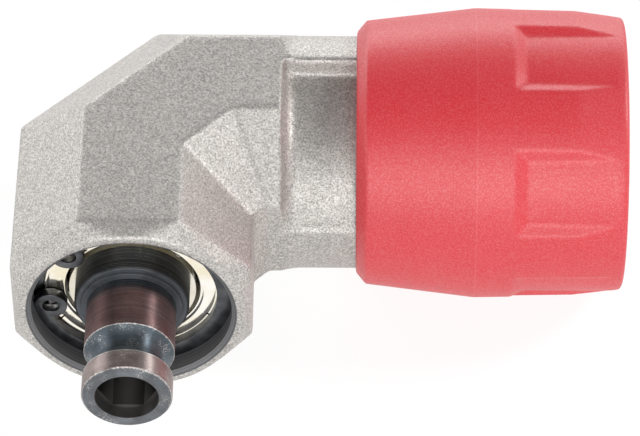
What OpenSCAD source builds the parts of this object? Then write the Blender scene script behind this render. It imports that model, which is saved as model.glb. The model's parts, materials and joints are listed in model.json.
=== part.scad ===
// Right angle drill attachment: an octagonal gear head that turns a drill's drive through
// a right angle, with a twist collar that locks it on the drill's nose. Millimetres.
//
// The drive comes in along +X and the output spindle points to -Y. The origin is the centre
// of the coupling face, where the drill's nose enters. Places along the two shafts are
// measured from the crossing of their axes: along the drive toward +X, and along the nose
// toward -Y. Turns about the drive axis start at +Z and run toward -Y.

/* [Bevel gears] */
// Pitch diameter of the two equal bevel gears
gear_pitch_d = 16; // [15:0.2:16.6]
// Teeth on each gear
gear_teeth = 16; // [14:2:16]
// Width of the teeth along the pitch cone
gear_face_w = 4; // [3:0.1:4.6]
// Pressure angle of the teeth
pressure_angle = 20; // [18:0.5:24]
// Play between mating teeth, along the pitch circle
gear_backlash = 0.14; // [0.08:0.01:0.25]
// Hub of the output gear, from the pitch circle's plane to the bearing
output_hub_len = 8.5; // [7.5:0.1:11]
// Hub of the input gear, from the pitch circle's plane to the bearing
input_hub_len = 4.5; // [4:0.1:6]
// Radius of the gears' bores
gear_bore_r = 3; // [2.6:0.05:3.3]
// Diameter of the cross pins
gear_pin_d = 2; // [1.5:0.1:2.4]

/* [Output bearing] */
// Bore of the output bearing
out_bore_d = 12; // [11:0.1:12.6]
// Outside diameter of the output bearing
out_od = 24; // [23:0.1:26]
// Width of the output bearing
out_w = 6; // [5:0.1:7]
// Balls in the output bearing
out_ball_count = 9; // [6:1:10]

/* [Input bearings] */
// Bore of each input bearing
in_bore_d = 8; // [7.6:0.1:8.6]
// Outside diameter of each input bearing
in_od = 19; // [18.6:0.1:20]
// Width of each input bearing
in_w = 6; // [5:0.1:7]
// Balls in each input bearing
in_ball_count = 8; // [6:1:9]
// Distance between the two input bearings
bearing_spacing = 11.5; // [10:0.1:13]

/* [Housing] */
// Wall of the octagon's flats outside the output bearing
mouth_wall = 2.35; // [1.5:0.05:4]
// Depth of the head's mouth in front of the output bearing
mouth_depth = 4; // [3:0.1:6]
// Wall of the mouth at its round front rim
mouth_rim = 1.4; // [0.8:0.1:1.5]
// Set-back of the bevels between that rim and the flats
mouth_bevel = 2.1; // [1:0.1:3]
// Distance from the crossing to the end of the octagonal body, on the drive side
body_end = 17.8; // [16.5:0.1:19]
// Chamfer round the bore of the mouth
mouth_chamfer = 0.5; // [0.1:0.05:0.6]
// Clearance round the turning gears
gear_clearance = 0.4; // [0.3:0.05:0.6]

/* [Neck] */
// Length of the round neck, from the octagonal body to the coupling sleeve
neck_len = 13.2; // [12:0.1:15]
// Wall of the neck outside the spigot's radius
neck_wall = 2.3; // [2.2:0.05:3]
// Wall between the bearing seat and the floor of each track
track_wall = 2.2; // [1.2:0.05:3]
// Angle covered by each track
track_angle = 94.3; // [80:0.1:110]
// Turn from +Z to the middle of the first track
track_turn = 38.6; // [20:0.1:60]
// Fillet between the octagonal body and the neck
neck_fillet_r = 1.8; // [0.8:0.1:2.4]
// Wall of the spigot that carries the coupling sleeve
spigot_wall = 2.5; // [2.3:0.05:3.2]

/* [Output spindle] */
// Radius of the spindle's nose
nose_r = 5.4; // [5:0.05:5.8]
// Length of the straight part of the nose, outside the small step
nose_straight = 6.95; // [6:0.05:9]
// Width of the rounded groove
nose_groove_w = 4.05; // [3:0.05:4.5]
// Depth of the rounded groove
nose_groove_depth = 1.05; // [0.6:0.05:1.2]
// Length of the ring outside the groove
nose_ring_w = 2.85; // [2:0.05:4]
// Chamfer at the tip and on the shoulder
nose_chamfer = 0.3; // [0.1:0.05:0.5]
// Radius of the shoulder in the head's mouth
shoulder_r = 6.9; // [6.6:0.05:7.3]
// Height of the shoulder in front of the bearing
shoulder_h = 2.8; // [2:0.05:3.4]
// Radius of the small step on the shoulder
step_r = 6.15; // [5.9:0.05:6.5]
// Height of the small step
step_h = 0.35; // [0.1:0.05:0.8]
// Hex socket across its flats
socket_af = 6.45; // [6.36:0.01:6.6]
// Depth of the hex socket from the tip
socket_hex_depth = 13; // [11:0.1:14]
// Radius of the round entry in front of the hex
socket_entry_r = 3.78; // [3.7:0.01:4]
// Depth of the round entry
socket_entry_depth = 1.6; // [1:0.1:2.4]
// Radius of the bit magnet
magnet_r = 2.9; // [2:0.05:3]
// Length of the bit magnet
magnet_len = 3.9; // [2:0.1:5]
// Wire of the bit retaining ring
bit_ring_wire = 0.7; // [0.5:0.05:0.8]

/* [Input shaft] */
// Hex shank across its flats
shank_af = 6.35; // [6:0.01:6.4]
// Distance from the coupling face back to the shank's tip
shank_setback = 5; // [4.8:0.1:7]
// Radius left at the shank's groove
shank_groove_r = 2.75; // [2.4:0.05:3]

/* [Coupling sleeve] */
// Length of the coupling sleeve
sleeve_len = 28.4; // [27:0.1:31]
// Wall of the sleeve over the spigot
skirt_wall = 2; // [1.9:0.05:2.6]
// Step from the skirt down to the running surface of the cam ring
run_step = 0.4; // [0.2:0.05:0.6]
// Wall of the sleeve round the lock balls
ball_wall = 2; // [1.8:0.05:2.3]
// Wall of the sleeve at the wider mouth
pilot_wall = 1.3; // [1:0.05:1.5]
// Depth of the wider mouth
pilot_depth = 4.5; // [4:0.1:4.7]
// Index notches in the socket
notch_count = 12; // [6:6:12]
// Radius of each index notch
notch_r = 0.7; // [0.4:0.05:0.8]
// Screws between the sleeve and the spigot
screw_count = 4; // [3:1:6]
// Thread diameter of those screws
screw_d = 2.5; // [2:0.1:3]

/* [Lock] */
// Turn of the collar between locked and free
twist = 36; // [24:1:40]
// Diameter of the lock balls
ball_d = 3.2; // [3:0.05:3.4]
// How far a locked ball stands into the socket
ball_grip = 0.6; // [0.5:0.05:0.7]
// Distance from the coupling face back to the balls
ball_back = 10.9; // [9.5:0.1:11.5]
// Length of the cam ring
cam_len = 12.1; // [11:0.1:12.6]
// Wall of the cam ring outside a freed ball
cam_wall = 0.7; // [0.5:0.05:1]
// Wire of the collar's return spring
spring_wire = 0.9; // [0.7:0.05:1]
// Turns of the collar's return spring
spring_turns = 5; // [3:1:7]

/* [Collar] */
// How far the collar reaches over the neck
collar_overlap = 4.3; // [3.8:0.1:5.5]
// Wall of the grip at the pocket floors
grip_wall = 1.3; // [1:0.05:2]
// Width of the front face outside the neck
front_lip = 0.5; // [0.2:0.05:0.9]
// Wall of the front rim outside the neck
front_wall = 1.94; // [1.6:0.02:2.4]
// Length of the front chamfer
front_chamfer = 1.2; // [0.8:0.1:2]
// Distance from the front face to the widest ring
seam_at = 14.5; // [12:0.1:16]
// Rise of the widest ring above the pocket floors
seam_rise = 0.93; // [0.8:0.01:1.4]
// Rise of the grip above the pocket floors where the rear cone starts
tail_rise = 0.7; // [0.5:0.01:1.3]
// Length of the rear cone
rear_cone_len = 6; // [4:0.1:8]
// Drop of the rear edge below the pocket floors
rear_drop = 0.1; // [0:0.02:0.5]
// Rounding of the rear edge
rear_round = 0.5; // [0.2:0.05:0.7]
// Finger pockets
pocket_count = 6; // [4:1:8]
// Angle covered by the floor of each pocket, at the rear
pocket_angle = 29; // [24:1:34]
// How much narrower each side of the floor is in front
pocket_draft = 0.75; // [0:0.05:1.5]
// Distance from the rear face to the front of each pocket
pocket_len = 13.8; // [10:0.1:16]
// Length of the slopes at the front and sides of each pocket
pocket_slope = 1.6; // [1:0.1:2.5]

/* [Clearances] */
// Gap at pressed and screwed joints
press_gap = 0.01; // [0.005:0.005:0.02]
// Gap at running joints
run_gap = 0.05; // [0.03:0.01:0.09]
// Gap of the collar on the neck
collar_gap = 0.1; // [0.06:0.01:0.15]
// Gap on each side of the return spring
spring_gap = 0.2; // [0.15:0.01:0.3]

/* [Hidden] */
$fn = 96;
over = 1;
full_turn = 360;

// Bevel gears
gear_module = gear_pitch_d / gear_teeth;
pitch_r = gear_pitch_d / 2;
pitch_angle = 45;
back_r = pitch_r / cos(pitch_angle);
base_r = back_r * cos(pressure_angle);
addendum = gear_module;
dedendum = 1.2 * gear_module;
rim_depth = 1.6 * gear_module;
toe_scale = 1 - gear_face_w / back_r;
tip_r = pitch_r + addendum * cos(pitch_angle);
tip_plane = pitch_r - addendum * sin(pitch_angle);
rim_r = pitch_r - rim_depth * cos(pitch_angle);
rim_plane = pitch_r + rim_depth * sin(pitch_angle);
gear_pitch_turn = full_turn / gear_teeth;
flank_shares = [0, 0.2, 0.45, 0.7, 1];
hub_share = 0.95;
hub_r = hub_share * rim_r;
gear_room_r = tip_r + gear_clearance;
gear_room_start = tip_plane * toe_scale - gear_clearance;

// Places along the nose
out_start = pitch_r + output_hub_len;
out_end = out_start + out_w;
mouth_at = out_end + mouth_depth;
shim_h = 0.3;
shoulder_at = out_end + shoulder_h;
step_at = shoulder_at + step_h;
groove_at = step_at + nose_straight;
groove_end = groove_at + nose_groove_w;
tip_at = groove_end + nose_ring_w;
socket_floor = tip_at - socket_hex_depth;
bit_ring_at = socket_floor + 3 * bit_ring_wire;
bit_ring_grip = 0.12;
bit_ring_r = socket_af / 2 + bit_ring_wire / 2 - bit_ring_grip;
bit_ring_gap = 50;
tail_r = gear_bore_r - press_gap;
bush_wall = 1;
bush_len = 4;
bush_start = 3;
tail_step = 0.5;
bush_bore_r = gear_bore_r - tail_step;
bush_r = bush_bore_r + bush_wall;
pin_at_share = 0.55;
pin_len_share = 0.98;

// Places along the drive
front_start = pitch_r + input_hub_len;
front_end = front_start + in_w;
rear_start = front_end + bearing_spacing;
rear_end = rear_start + in_w;
in_clip_t = 1;
spigot_lip = 1.2;
spigot_end = rear_end + in_clip_t + spigot_lip;
neck_end = body_end + neck_len;
reach = neck_end + sleeve_len;
wide = reach;
shank_tip = reach - shank_setback;
shank_start = spigot_end + 0.25 * in_clip_t;
shaft_ring_t = 0.8;
shaft_ring_rise = 1.2;
shaft_ring_depth = 0.3;
shaft_ring_gap = 70;
shaft_groove_r = in_bore_d / 2 - shaft_ring_depth;
shank_groove_back = 9.5;

// Radii of the housing
section_w = out_od + 2 * mouth_wall;
section_half = section_w / 2;
mitre_share = 0.627;
mitre_leg = mitre_share * section_half;
mitre_angle = 26.8;
rim_steps = 6;
arc_steps = 8;
spigot_r = in_od / 2 + spigot_wall;
neck_r = spigot_r + neck_wall;
track_r = in_od / 2 + track_wall;

// Bearings: balls as a share of the ring's section, lands and cage as shares of the ball
// and of the bearing's width
out_ball_share = 0.6615;
in_ball_share = 0.6364;
out_ball_d = out_ball_share * (out_od - out_bore_d) / 2;
in_ball_d = in_ball_share * (in_od - in_bore_d) / 2;
land_share = 0.35;
cage_share = 0.6;
cage_front_share = 0.34;
cage_back_share = 0.91;
shield_t = 0.3;
shield_rim = 0.3;

// Internal circlips: groove depth, lug and eye as shares of the bore's radius
clip_groove_share = 0.05;
clip_width_share = 0.13;
clip_shift_share = 0.025;
lug_at_share = 0.84;
lug_r_share = 0.165;
eye_r_share = 0.085;
out_clip_t = 1.2;
clip_play = 0.05;
clip_turn = 164.5;
clip_half_gap = 27;

// Radii of the sleeve, the lock and the collar
skirt_r = spigot_r + skirt_wall;
run_r = skirt_r - run_step;
socket_r = run_r - ball_wall;
pilot_r = run_r - pilot_wall;
ball_count = 3;
ball_travel = ball_grip + run_gap;
ball_at_r = socket_r - ball_grip + ball_d / 2;
cam_lock_r = ball_at_r + ball_d / 2 + run_gap;
cam_free_r = cam_lock_r + ball_travel;
cam_r = cam_free_r + cam_wall;
cam_key_rise = 0.5;
cam_key_w = 4;
cam_key_len = 5;
cam_slot_half = ball_d / 2 + 3 * run_gap;
cam_margin = 8;
cam_steps = 16;
snap_back = 1.6;
snap_t = 1;
snap_depth = 0.6;
snap_rise = 0.9;
snap_gap = 40;
washer_t = 0.6;
washer_rise = 1.4;
cam_end = reach - snap_back - snap_t - washer_t - 2 * run_gap;
cam_start = cam_end - cam_len;
ball_at = reach - ball_back;
floor_r = cam_r + grip_wall;
spring_bore_r = skirt_r + spring_wire + 2 * spring_gap;
spring_r = skirt_r + spring_gap + spring_wire / 2;
spring_start = neck_end + 1.2;
spring_leg = 0.8;
spring_steps = 24;
spring_sides = 6;
screw_foot = in_od / 2 + 0.2 * screw_d;
screw_head_share = 0.45;
screw_sink = 0.1;
collar_front = neck_end - collar_overlap;
rear_cone_at = reach - rear_cone_len;
pocket_at = reach - pocket_len;
key_setback = 0.8;
key_gap = 0.3;
stop_gap = 0.5;
key_angle = track_angle - twist - 2 * stop_gap;
lip_share = 0.1;
ball_turns = [for (i = [0:ball_count - 1]) 90 + i * full_turn / ball_count];

// Local +Z becomes the drive direction, and a local turn of 90 points to +Z.
module along_drive(at = 0) translate([at - reach, 0, 0]) rotate([90, 0, 90]) children();

// Local +Z becomes the nose direction, local X stays, and local Y points to +Z.
module along_nose(at = 0) translate([-reach, -at, 0]) rotate([90, 0, 0]) children();

// Turns the local X axis to a given turn about the drive.
module turned(turn) rotate(90 + turn) children();

module tube(outer_r, inner_r, len) {
    difference() {
        cylinder(r = outer_r, h = len);
        translate([0, 0, -over]) cylinder(r = inner_r, h = len + 2 * over);
    }
}

// A sector from turn 0 to a given angle, between two radii.
module sector(outer_r, inner_r, len, angle) {
    rotate_extrude(angle = angle) translate([inner_r, 0]) square([outer_r - inner_r, len]);
}

module hex_bar(af, len) cylinder(r = af / sqrt(3), h = len, $fn = 6);

// Points along an arc about a centre, from one angle to another.
function arc(centre, r, from, to) = [
    for (i = [0:arc_steps]) let (angle = from + (to - from) * i / arc_steps)
        centre + r * [cos(angle), sin(angle)]
];

// Corners of the octagonal section as [offset, height]. The offset runs from the leg's axis
// to the inner side of the elbow.
function section_corners() = let (side = full_turn / 8, r = section_half / cos(side / 2)) [
    for (k = [0:7]) r * [cos((k - 0.5) * side), sin((k - 0.5) * side)]
];

// Outer form of the elbow, with the crossing of the axes at the origin: an octagonal
// section swept along the nose, a short diagonal and the drive, with mitred corners. At the
// mouth, bevels lead from the octagon to a round rim.
module elbow() {
    corners = section_corners();
    count = len(corners);
    rim_count = count * rim_steps;
    rim_front_r = out_od / 2 + mouth_rim;
    function mitre_of(offset) = mitre_leg + offset * tan(mitre_angle);
    points = [
        for (j = [0:rim_count - 1]) let (angle = full_turn * j / rim_count)
            [rim_front_r * cos(angle), -mouth_at, rim_front_r * sin(angle)],
        for (c = corners) [c[0], mouth_bevel - mouth_at, c[1]],
        for (c = corners) [c[0], -mitre_of(c[0]), c[1]],
        for (c = corners) [mitre_of(c[0]), -c[0], c[1]],
        for (c = corners) [spigot_end + over, -c[0], c[1]]
    ];
    faces = [
        [for (j = [rim_count - 1:-1:0]) j],
        // Each flat's bevel, and the fan of the corner before it.
        for (k = [0:count - 1]) let (mid = k * rim_steps, corner = rim_count + k) each [
            [mid, rim_count + (k + 1) % count, corner],
            for (j = [0:rim_steps - 1]) let (from = (mid - rim_steps + j + rim_count) % rim_count)
                [from, (from + 1) % rim_count, corner]
        ],
        for (ring = [0:2], k = [0:count - 1])
            let (a = rim_count + ring * count + k, b = rim_count + ring * count + (k + 1) % count)
                [a, b, b + count, a + count],
        [for (k = [0:count - 1]) rim_count + 3 * count + k]
    ];
    polyhedron(points, faces);
}

// Form of the drive side: everything up to the body's end, then a concave blend, the round
// neck and the spigot.
module drive_form() {
    along_drive() rotate_extrude() polygon([
        [0, -section_half - over], [wide, -section_half - over], [wide, body_end],
        each arc([neck_r, body_end] + neck_fillet_r * [1, 1], neck_fillet_r, 270, 180),
        [neck_r, neck_end], [spigot_r, neck_end], [spigot_r, spigot_end], [0, spigot_end]
    ]);
}

// Two tracks in the neck, in which the keys of the collar run.
module neck_tracks() {
    for (side = [0, 1])
        turned(track_turn - track_angle / 2 + side * full_turn / 2)
            rotate_extrude(angle = track_angle) polygon([
                [neck_r + neck_fillet_r + over, body_end],
                each arc([track_r, body_end] + neck_fillet_r * [1, 1], neck_fillet_r, 270, 180),
                [track_r, neck_end], [neck_r + neck_fillet_r + over, neck_end]
            ]);
}

// Inside of the head: gear space, bearing seat, circlip groove and the tail's bush seat.
module inside_nose() {
    seat_r = out_od / 2;
    bush_end = bush_start + bush_len + tail_step;
    rotate([90, 0, 0]) {
        translate([0, 0, gear_room_start])
            cylinder(r = gear_room_r, h = mouth_at - gear_room_start);
        translate([0, 0, out_start - shim_h])
            cylinder(r = seat_r, h = mouth_at - out_start + shim_h + over);
        translate([0, 0, out_end - clip_play])
            cylinder(r = seat_r * (1 + clip_groove_share), h = out_clip_t + 2 * clip_play);
        translate([0, 0, mouth_at - mouth_chamfer])
            cylinder(r1 = seat_r, r2 = seat_r + mouth_chamfer + over, h = mouth_chamfer + over);
        translate([0, 0, -bush_end])
            cylinder(r = bush_r + press_gap, h = bush_end + gear_room_start + over);
    }
}

// Inside of the neck: gear space, bearing seats and circlip groove.
module inside_drive() {
    seat_r = in_od / 2;
    rotate([90, 0, 90]) {
        translate([0, 0, gear_room_start])
            cylinder(r = gear_room_r, h = front_start - gear_room_start + press_gap);
        translate([0, 0, front_start]) cylinder(r = seat_r, h = spigot_end - front_start + over);
        translate([0, 0, rear_end - clip_play])
            cylinder(r = seat_r * (1 + clip_groove_share), h = in_clip_t + 2 * clip_play);
    }
}

module gear_housing() {
    color("silver") difference() {
        intersection() {
            translate([-reach, 0, 0]) elbow();
            drive_form();
        }
        along_drive() {
            neck_tracks();
            screw_places() translate([0, 0, screw_foot])
                cylinder(d = screw_d + 2 * press_gap, h = spigot_wall);
        }
        translate([-reach, 0, 0]) {
            inside_nose();
            inside_drive();
        }
    }
}

// Ball bearings. Each piece is drawn from z = 0 to the bearing's width.
function ball_circle_r(bore_d, od) = (bore_d + od) / 4;
function outer_land_r(bore_d, od, ball) = ball_circle_r(bore_d, od) + land_share * ball;
function inner_land_r(bore_d, od, ball) = ball_circle_r(bore_d, od) - land_share * ball;

module outer_race(bore_d, od, w, ball, seat = 0) {
    land_r = outer_land_r(bore_d, od, ball);
    rotate_extrude() difference() {
        translate([land_r, 0]) square([od / 2 - press_gap - land_r, w]);
        translate([ball_circle_r(bore_d, od), w / 2]) circle(d = ball + 2 * run_gap);
        if (seat > 0) for (z = [-over, w - seat]) translate([0, z])
            square([land_r + shield_rim + press_gap, seat + over]);
    }
}

module inner_race(bore_d, od, w, ball) {
    land_r = inner_land_r(bore_d, od, ball);
    rotate_extrude() difference() {
        translate([bore_d / 2, 0]) square([land_r - bore_d / 2, w]);
        translate([ball_circle_r(bore_d, od), w / 2]) circle(d = ball + 2 * run_gap);
    }
}

module bearing_balls(bore_d, od, w, ball, count) {
    for (i = [0:count - 1])
        rotate(i * full_turn / count)
            translate([ball_circle_r(bore_d, od), 0, w / 2]) sphere(d = ball);
}

// Snap cage: a ring with a closed back, whose pockets open toward the front.
module bearing_cage(bore_d, od, w, ball, count) {
    mid_r = ball_circle_r(bore_d, od);
    half = cage_share * land_share * ball;
    difference() {
        translate([0, 0, cage_front_share * w])
            tube(mid_r + half, mid_r - half, (cage_back_share - cage_front_share) * w);
        for (i = [0:count - 1])
            rotate(i * full_turn / count)
                translate([mid_r, 0, w / 2]) sphere(d = ball + 2 * run_gap);
    }
}

module output_bearing_outer_race() {
    color("dimgray") along_nose(out_start)
        outer_race(out_bore_d, out_od, out_w, out_ball_d, shield_t);
}

module output_bearing_inner_race() {
    color("gray") along_nose(out_start) inner_race(out_bore_d, out_od, out_w, out_ball_d);
}

// Two dished shields, sunk a little between the rim and the inner race.
module output_bearing_shields() {
    rim_r = outer_land_r(out_bore_d, out_od, out_ball_d) + shield_rim;
    bore_r = inner_land_r(out_bore_d, out_od, out_ball_d) + 2 * run_gap;
    sheet = shield_t / 2;
    color("wheat") along_nose(out_start + out_w / 2) for (side = [0, 1])
        mirror([0, 0, side]) translate([0, 0, out_w / 2]) rotate_extrude() polygon([
            [rim_r, -shield_t], [rim_r, 0], [rim_r - shield_rim, 0],
            [rim_r - shield_rim - sheet, -sheet], [bore_r + sheet, -sheet], [bore_r, 0],
            [bore_r, -shield_t]
        ]);
}

module output_bearing_balls() {
    color("lightgray") along_nose(out_start)
        bearing_balls(out_bore_d, out_od, out_w, out_ball_d, out_ball_count);
}

module output_bearing_cage() {
    color("ivory") along_nose(out_start)
        bearing_cage(out_bore_d, out_od, out_w, out_ball_d, out_ball_count);
}

module front_bearing_outer_race() {
    color("dimgray") along_drive(front_start) outer_race(in_bore_d, in_od, in_w, in_ball_d);
}

module rear_bearing_outer_race() {
    color("dimgray") along_drive(rear_start) outer_race(in_bore_d, in_od, in_w, in_ball_d);
}

module front_bearing_inner_race() {
    color("gray") along_drive(front_start) inner_race(in_bore_d, in_od, in_w, in_ball_d);
}

module rear_bearing_inner_race() {
    color("gray") along_drive(rear_start) inner_race(in_bore_d, in_od, in_w, in_ball_d);
}

module front_bearing_balls() {
    color("lightgray") along_drive(front_start)
        bearing_balls(in_bore_d, in_od, in_w, in_ball_d, in_ball_count);
}

module rear_bearing_balls() {
    color("lightgray") along_drive(rear_start)
        bearing_balls(in_bore_d, in_od, in_w, in_ball_d, in_ball_count);
}

module front_bearing_cage() {
    color("ivory") along_drive(front_start)
        bearing_cage(in_bore_d, in_od, in_w, in_ball_d, in_ball_count);
}

module rear_bearing_cage() {
    color("ivory") along_drive(rear_start)
        bearing_cage(in_bore_d, in_od, in_w, in_ball_d, in_ball_count);
}

module outer_bearing_spacer() {
    land_r = outer_land_r(in_bore_d, in_od, in_ball_d);
    color("gray") along_drive(front_end) tube(in_od / 2 - press_gap, land_r, bearing_spacing);
}

module inner_bearing_spacer() {
    land_r = inner_land_r(in_bore_d, in_od, in_ball_d);
    color("gray") along_drive(front_end) tube(land_r, in_bore_d / 2, bearing_spacing);
}

// Flat spring ring for a bore, with two lugs at its gap, which lies on the local X axis.
module internal_circlip(bore_r, thick) {
    outer_r = bore_r * (1 + clip_groove_share) - press_gap;
    inner_r = bore_r * (1 - clip_width_share);
    gap_side = 2 * bore_r;
    linear_extrude(thick) difference() {
        union() {
            difference() {
                circle(r = outer_r);
                translate([clip_shift_share * bore_r, 0]) circle(r = inner_r);
                polygon([
                    [0, 0],
                    for (side = [-1, 1])
                        gap_side * [cos(clip_half_gap), side * sin(clip_half_gap)]
                ]);
            }
            intersection() {
                circle(r = outer_r);
                lug_places(bore_r) circle(r = lug_r_share * bore_r);
            }
        }
        lug_places(bore_r) circle(r = eye_r_share * bore_r);
    }
}

module lug_places(bore_r) {
    for (side = [-1, 1])
        rotate(side * clip_half_gap) translate([lug_at_share * bore_r, 0]) children();
}

// Flat or square spring ring for a shaft, open on the local X axis.
module snap_ring(outer_r, inner_r, thick, gap) {
    rotate(gap / 2) sector(outer_r, inner_r, thick, full_turn - gap);
}

module output_circlip() {
    color("darkgray") along_nose(out_end) rotate(clip_turn)
        internal_circlip(out_od / 2, out_clip_t);
}

module input_circlip() {
    color("darkgray") along_drive(rear_end) internal_circlip(in_od / 2, in_clip_t);
}

module mesh_shim() {
    land_r = outer_land_r(out_bore_d, out_od, out_ball_d);
    color("goldenrod") along_nose(out_start - shim_h)
        tube(out_od / 2 - press_gap, land_r + shim_h, shim_h);
}

module rear_bush() {
    color("peru") along_nose(-bush_start - bush_len) tube(bush_r, bush_bore_r, bush_len);
}

// One point of a bevel tooth. The level is the height above the pitch line, measured on
// the back cone, and the turn is from the middle of the tooth.
function cone_point(level, turn, size) = let (r = pitch_r + level * cos(pitch_angle))
    size * [r * cos(turn), r * sin(turn), pitch_r - level * sin(pitch_angle)];

// Half of the tooth's angle about the gear's axis, from the involute on the back cone.
function involute(angle) = tan(angle) * full_turn / (2 * PI) - angle;
function flank_turn(level) = let (
        angle = acos(base_r / max(base_r, back_r + level)),
        half_arc = (PI * gear_module - gear_backlash) / 4,
        at_pitch = half_arc / back_r * full_turn / (2 * PI))
    (at_pitch + involute(pressure_angle) - involute(angle)) / cos(pitch_angle);

function flank_levels() = [for (share = flank_shares) share * (addendum + dedendum) - dedendum];

// Closed loop of points round the gear, either along the teeth or along the rim below.
function gear_loop(size, rim) = [
    for (i = [0:gear_teeth - 1], side = [-1, 1], j = [0:len(flank_shares) - 1])
        let (levels = flank_levels(),
             level = levels[side < 0 ? j : len(levels) - 1 - j],
             turn = i * gear_pitch_turn + side * flank_turn(level))
            cone_point(rim ? -rim_depth : level, turn, size)
];

// Toothed rim between the back cone at the heel and the front cone at the toe.
module bevel_teeth() {
    count = 2 * gear_teeth * len(flank_shares);
    rings = [[1, true], [1, false], [toe_scale, false], [toe_scale, true]];
    points = [
        [0, 0, rim_plane],
        for (ring = rings) each gear_loop(ring[0], ring[1]),
        [0, 0, rim_plane * toe_scale]
    ];
    last = len(points) - 1;
    faces = [
        for (i = [0:count - 1]) let (j = (i + 1) % count) each [
            [0, 1 + j, 1 + i],
            for (ring = [0:len(rings) - 2])
                let (a = 1 + ring * count, b = a + count) each [
                    [a + i, a + j, b + i],
                    [a + j, b + j, b + i]
                ],
            [last, last - count + i, last - count + j]
        ]
    ];
    polyhedron(points, faces);
}

// Bevel gear on the local Z axis, with its teeth toward the origin and a hub behind them.
module bevel_gear(hub_len) {
    end = pitch_r + hub_len;
    pin_at = rim_plane + pin_at_share * (end - rim_plane);
    difference() {
        union() {
            bevel_teeth();
            translate([0, 0, pitch_r]) cylinder(r = hub_r, h = hub_len);
        }
        cylinder(r = gear_bore_r, h = end + over);
        translate([0, 0, pin_at]) rotate([0, 90, 0])
            cylinder(d = gear_pin_d, h = 2 * wide, center = true);
    }
}

// Straight pin across a hub.
module cross_pin(hub_len) {
    end = pitch_r + hub_len;
    pin_at = rim_plane + pin_at_share * (end - rim_plane);
    translate([0, 0, pin_at]) rotate([0, 90, 0])
        cylinder(d = gear_pin_d - 2 * press_gap, h = pin_len_share * 2 * hub_r, center = true);
}

module output_bevel_gear() {
    color("slategray") along_nose() bevel_gear(output_hub_len);
}

module input_bevel_gear() {
    color("slategray") along_drive() rotate(gear_pitch_turn / 2) bevel_gear(input_hub_len);
}

module output_gear_pin() {
    color("gray") along_nose() cross_pin(output_hub_len);
}

module input_gear_pin() {
    color("gray") along_drive() rotate(gear_pitch_turn / 2) cross_pin(input_hub_len);
}

module output_spindle() {
    tail_end = -bush_start - bush_len + tail_step / 2;
    arc_r = (pow(nose_groove_w / 2, 2) + pow(nose_groove_depth, 2)) / (2 * nose_groove_depth);
    gear_end = pitch_r + output_hub_len;
    pin_at = rim_plane + pin_at_share * (gear_end - rim_plane);
    color("saddlebrown") along_nose() difference() {
        rotate_extrude() difference() {
            polygon([
                [0, tail_end], [bush_bore_r - run_gap, tail_end],
                [bush_bore_r - run_gap, -bush_start + tail_step],
                [tail_r, -bush_start + tail_step], [tail_r, out_start + 2 * run_gap],
                [out_bore_d / 2 - press_gap, out_start + 2 * run_gap],
                [out_bore_d / 2 - press_gap, out_end],
                [shoulder_r, out_end], [shoulder_r, shoulder_at - nose_chamfer],
                [shoulder_r - nose_chamfer, shoulder_at], [step_r, shoulder_at],
                [step_r, step_at], [nose_r, step_at],
                [nose_r, tip_at - nose_chamfer], [nose_r - nose_chamfer, tip_at],
                [0, tip_at]
            ]);
            translate([nose_r - nose_groove_depth + arc_r, groove_at + nose_groove_w / 2])
                circle(r = arc_r);
        }
        translate([0, 0, socket_floor]) hex_bar(socket_af, socket_hex_depth + over);
        translate([0, 0, tip_at - socket_entry_depth])
            cylinder(r = socket_entry_r, h = socket_entry_depth + over);
        translate([0, 0, socket_floor - magnet_len - press_gap])
            cylinder(r = magnet_r + press_gap, h = magnet_len + over);
        translate([0, 0, bit_ring_at - bit_ring_wire / 2 - press_gap])
            cylinder(r = bit_ring_r + bit_ring_wire / 2 + run_gap,
                     h = bit_ring_wire + 2 * press_gap);
        translate([0, 0, pin_at]) rotate([0, 90, 0])
            cylinder(d = gear_pin_d, h = 2 * wide, center = true);
    }
}

module bit_magnet() {
    color("silver") along_nose(socket_floor - magnet_len) cylinder(r = magnet_r, h = magnet_len);
}

module bit_retaining_ring() {
    color("gray") along_nose(bit_ring_at) rotate(bit_ring_gap / 2)
        rotate_extrude(angle = full_turn - bit_ring_gap)
            translate([bit_ring_r, 0]) circle(d = bit_ring_wire);
}

module input_shaft() {
    gear_end = pitch_r + input_hub_len;
    pin_at = rim_plane + pin_at_share * (gear_end - rim_plane);
    start = rim_plane * toe_scale;
    journal_r = in_bore_d / 2 - press_gap;
    corner_r = shank_af / sqrt(3);
    groove_w = shank_af / 2.5;
    groove_arc_r = groove_w;
    color("dimgray") along_drive() difference() {
        union() {
            rotate_extrude() polygon([
                [0, start], [tail_r, start], [tail_r, front_start + 2 * run_gap],
                [journal_r, front_start + 2 * run_gap], [journal_r, rear_end],
                [shaft_groove_r, rear_end], [shaft_groove_r, rear_end + shaft_ring_t + run_gap],
                [journal_r, rear_end + shaft_ring_t + run_gap], [journal_r, shank_start],
                [0, shank_start]
            ]);
            intersection() {
                translate([0, 0, rear_end]) hex_bar(shank_af, shank_tip - rear_end);
                rotate_extrude() polygon([
                    [0, shank_start - over], [corner_r, shank_start - over],
                    [corner_r, shank_tip - corner_r / 4], [corner_r * 3 / 4, shank_tip],
                    [0, shank_tip]
                ]);
            }
        }
        translate([0, 0, shank_tip - shank_groove_back]) rotate_extrude()
            translate([shank_groove_r + groove_arc_r, 0]) circle(r = groove_arc_r);
        translate([0, 0, pin_at]) rotate(gear_pitch_turn / 2) rotate([0, 90, 0])
            cylinder(d = gear_pin_d, h = 2 * wide, center = true);
    }
}

module input_shaft_ring() {
    color("darkgray") along_drive(rear_end)
        snap_ring(in_bore_d / 2 + shaft_ring_rise, shaft_groove_r + press_gap, shaft_ring_t,
                  shaft_ring_gap);
}

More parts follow.
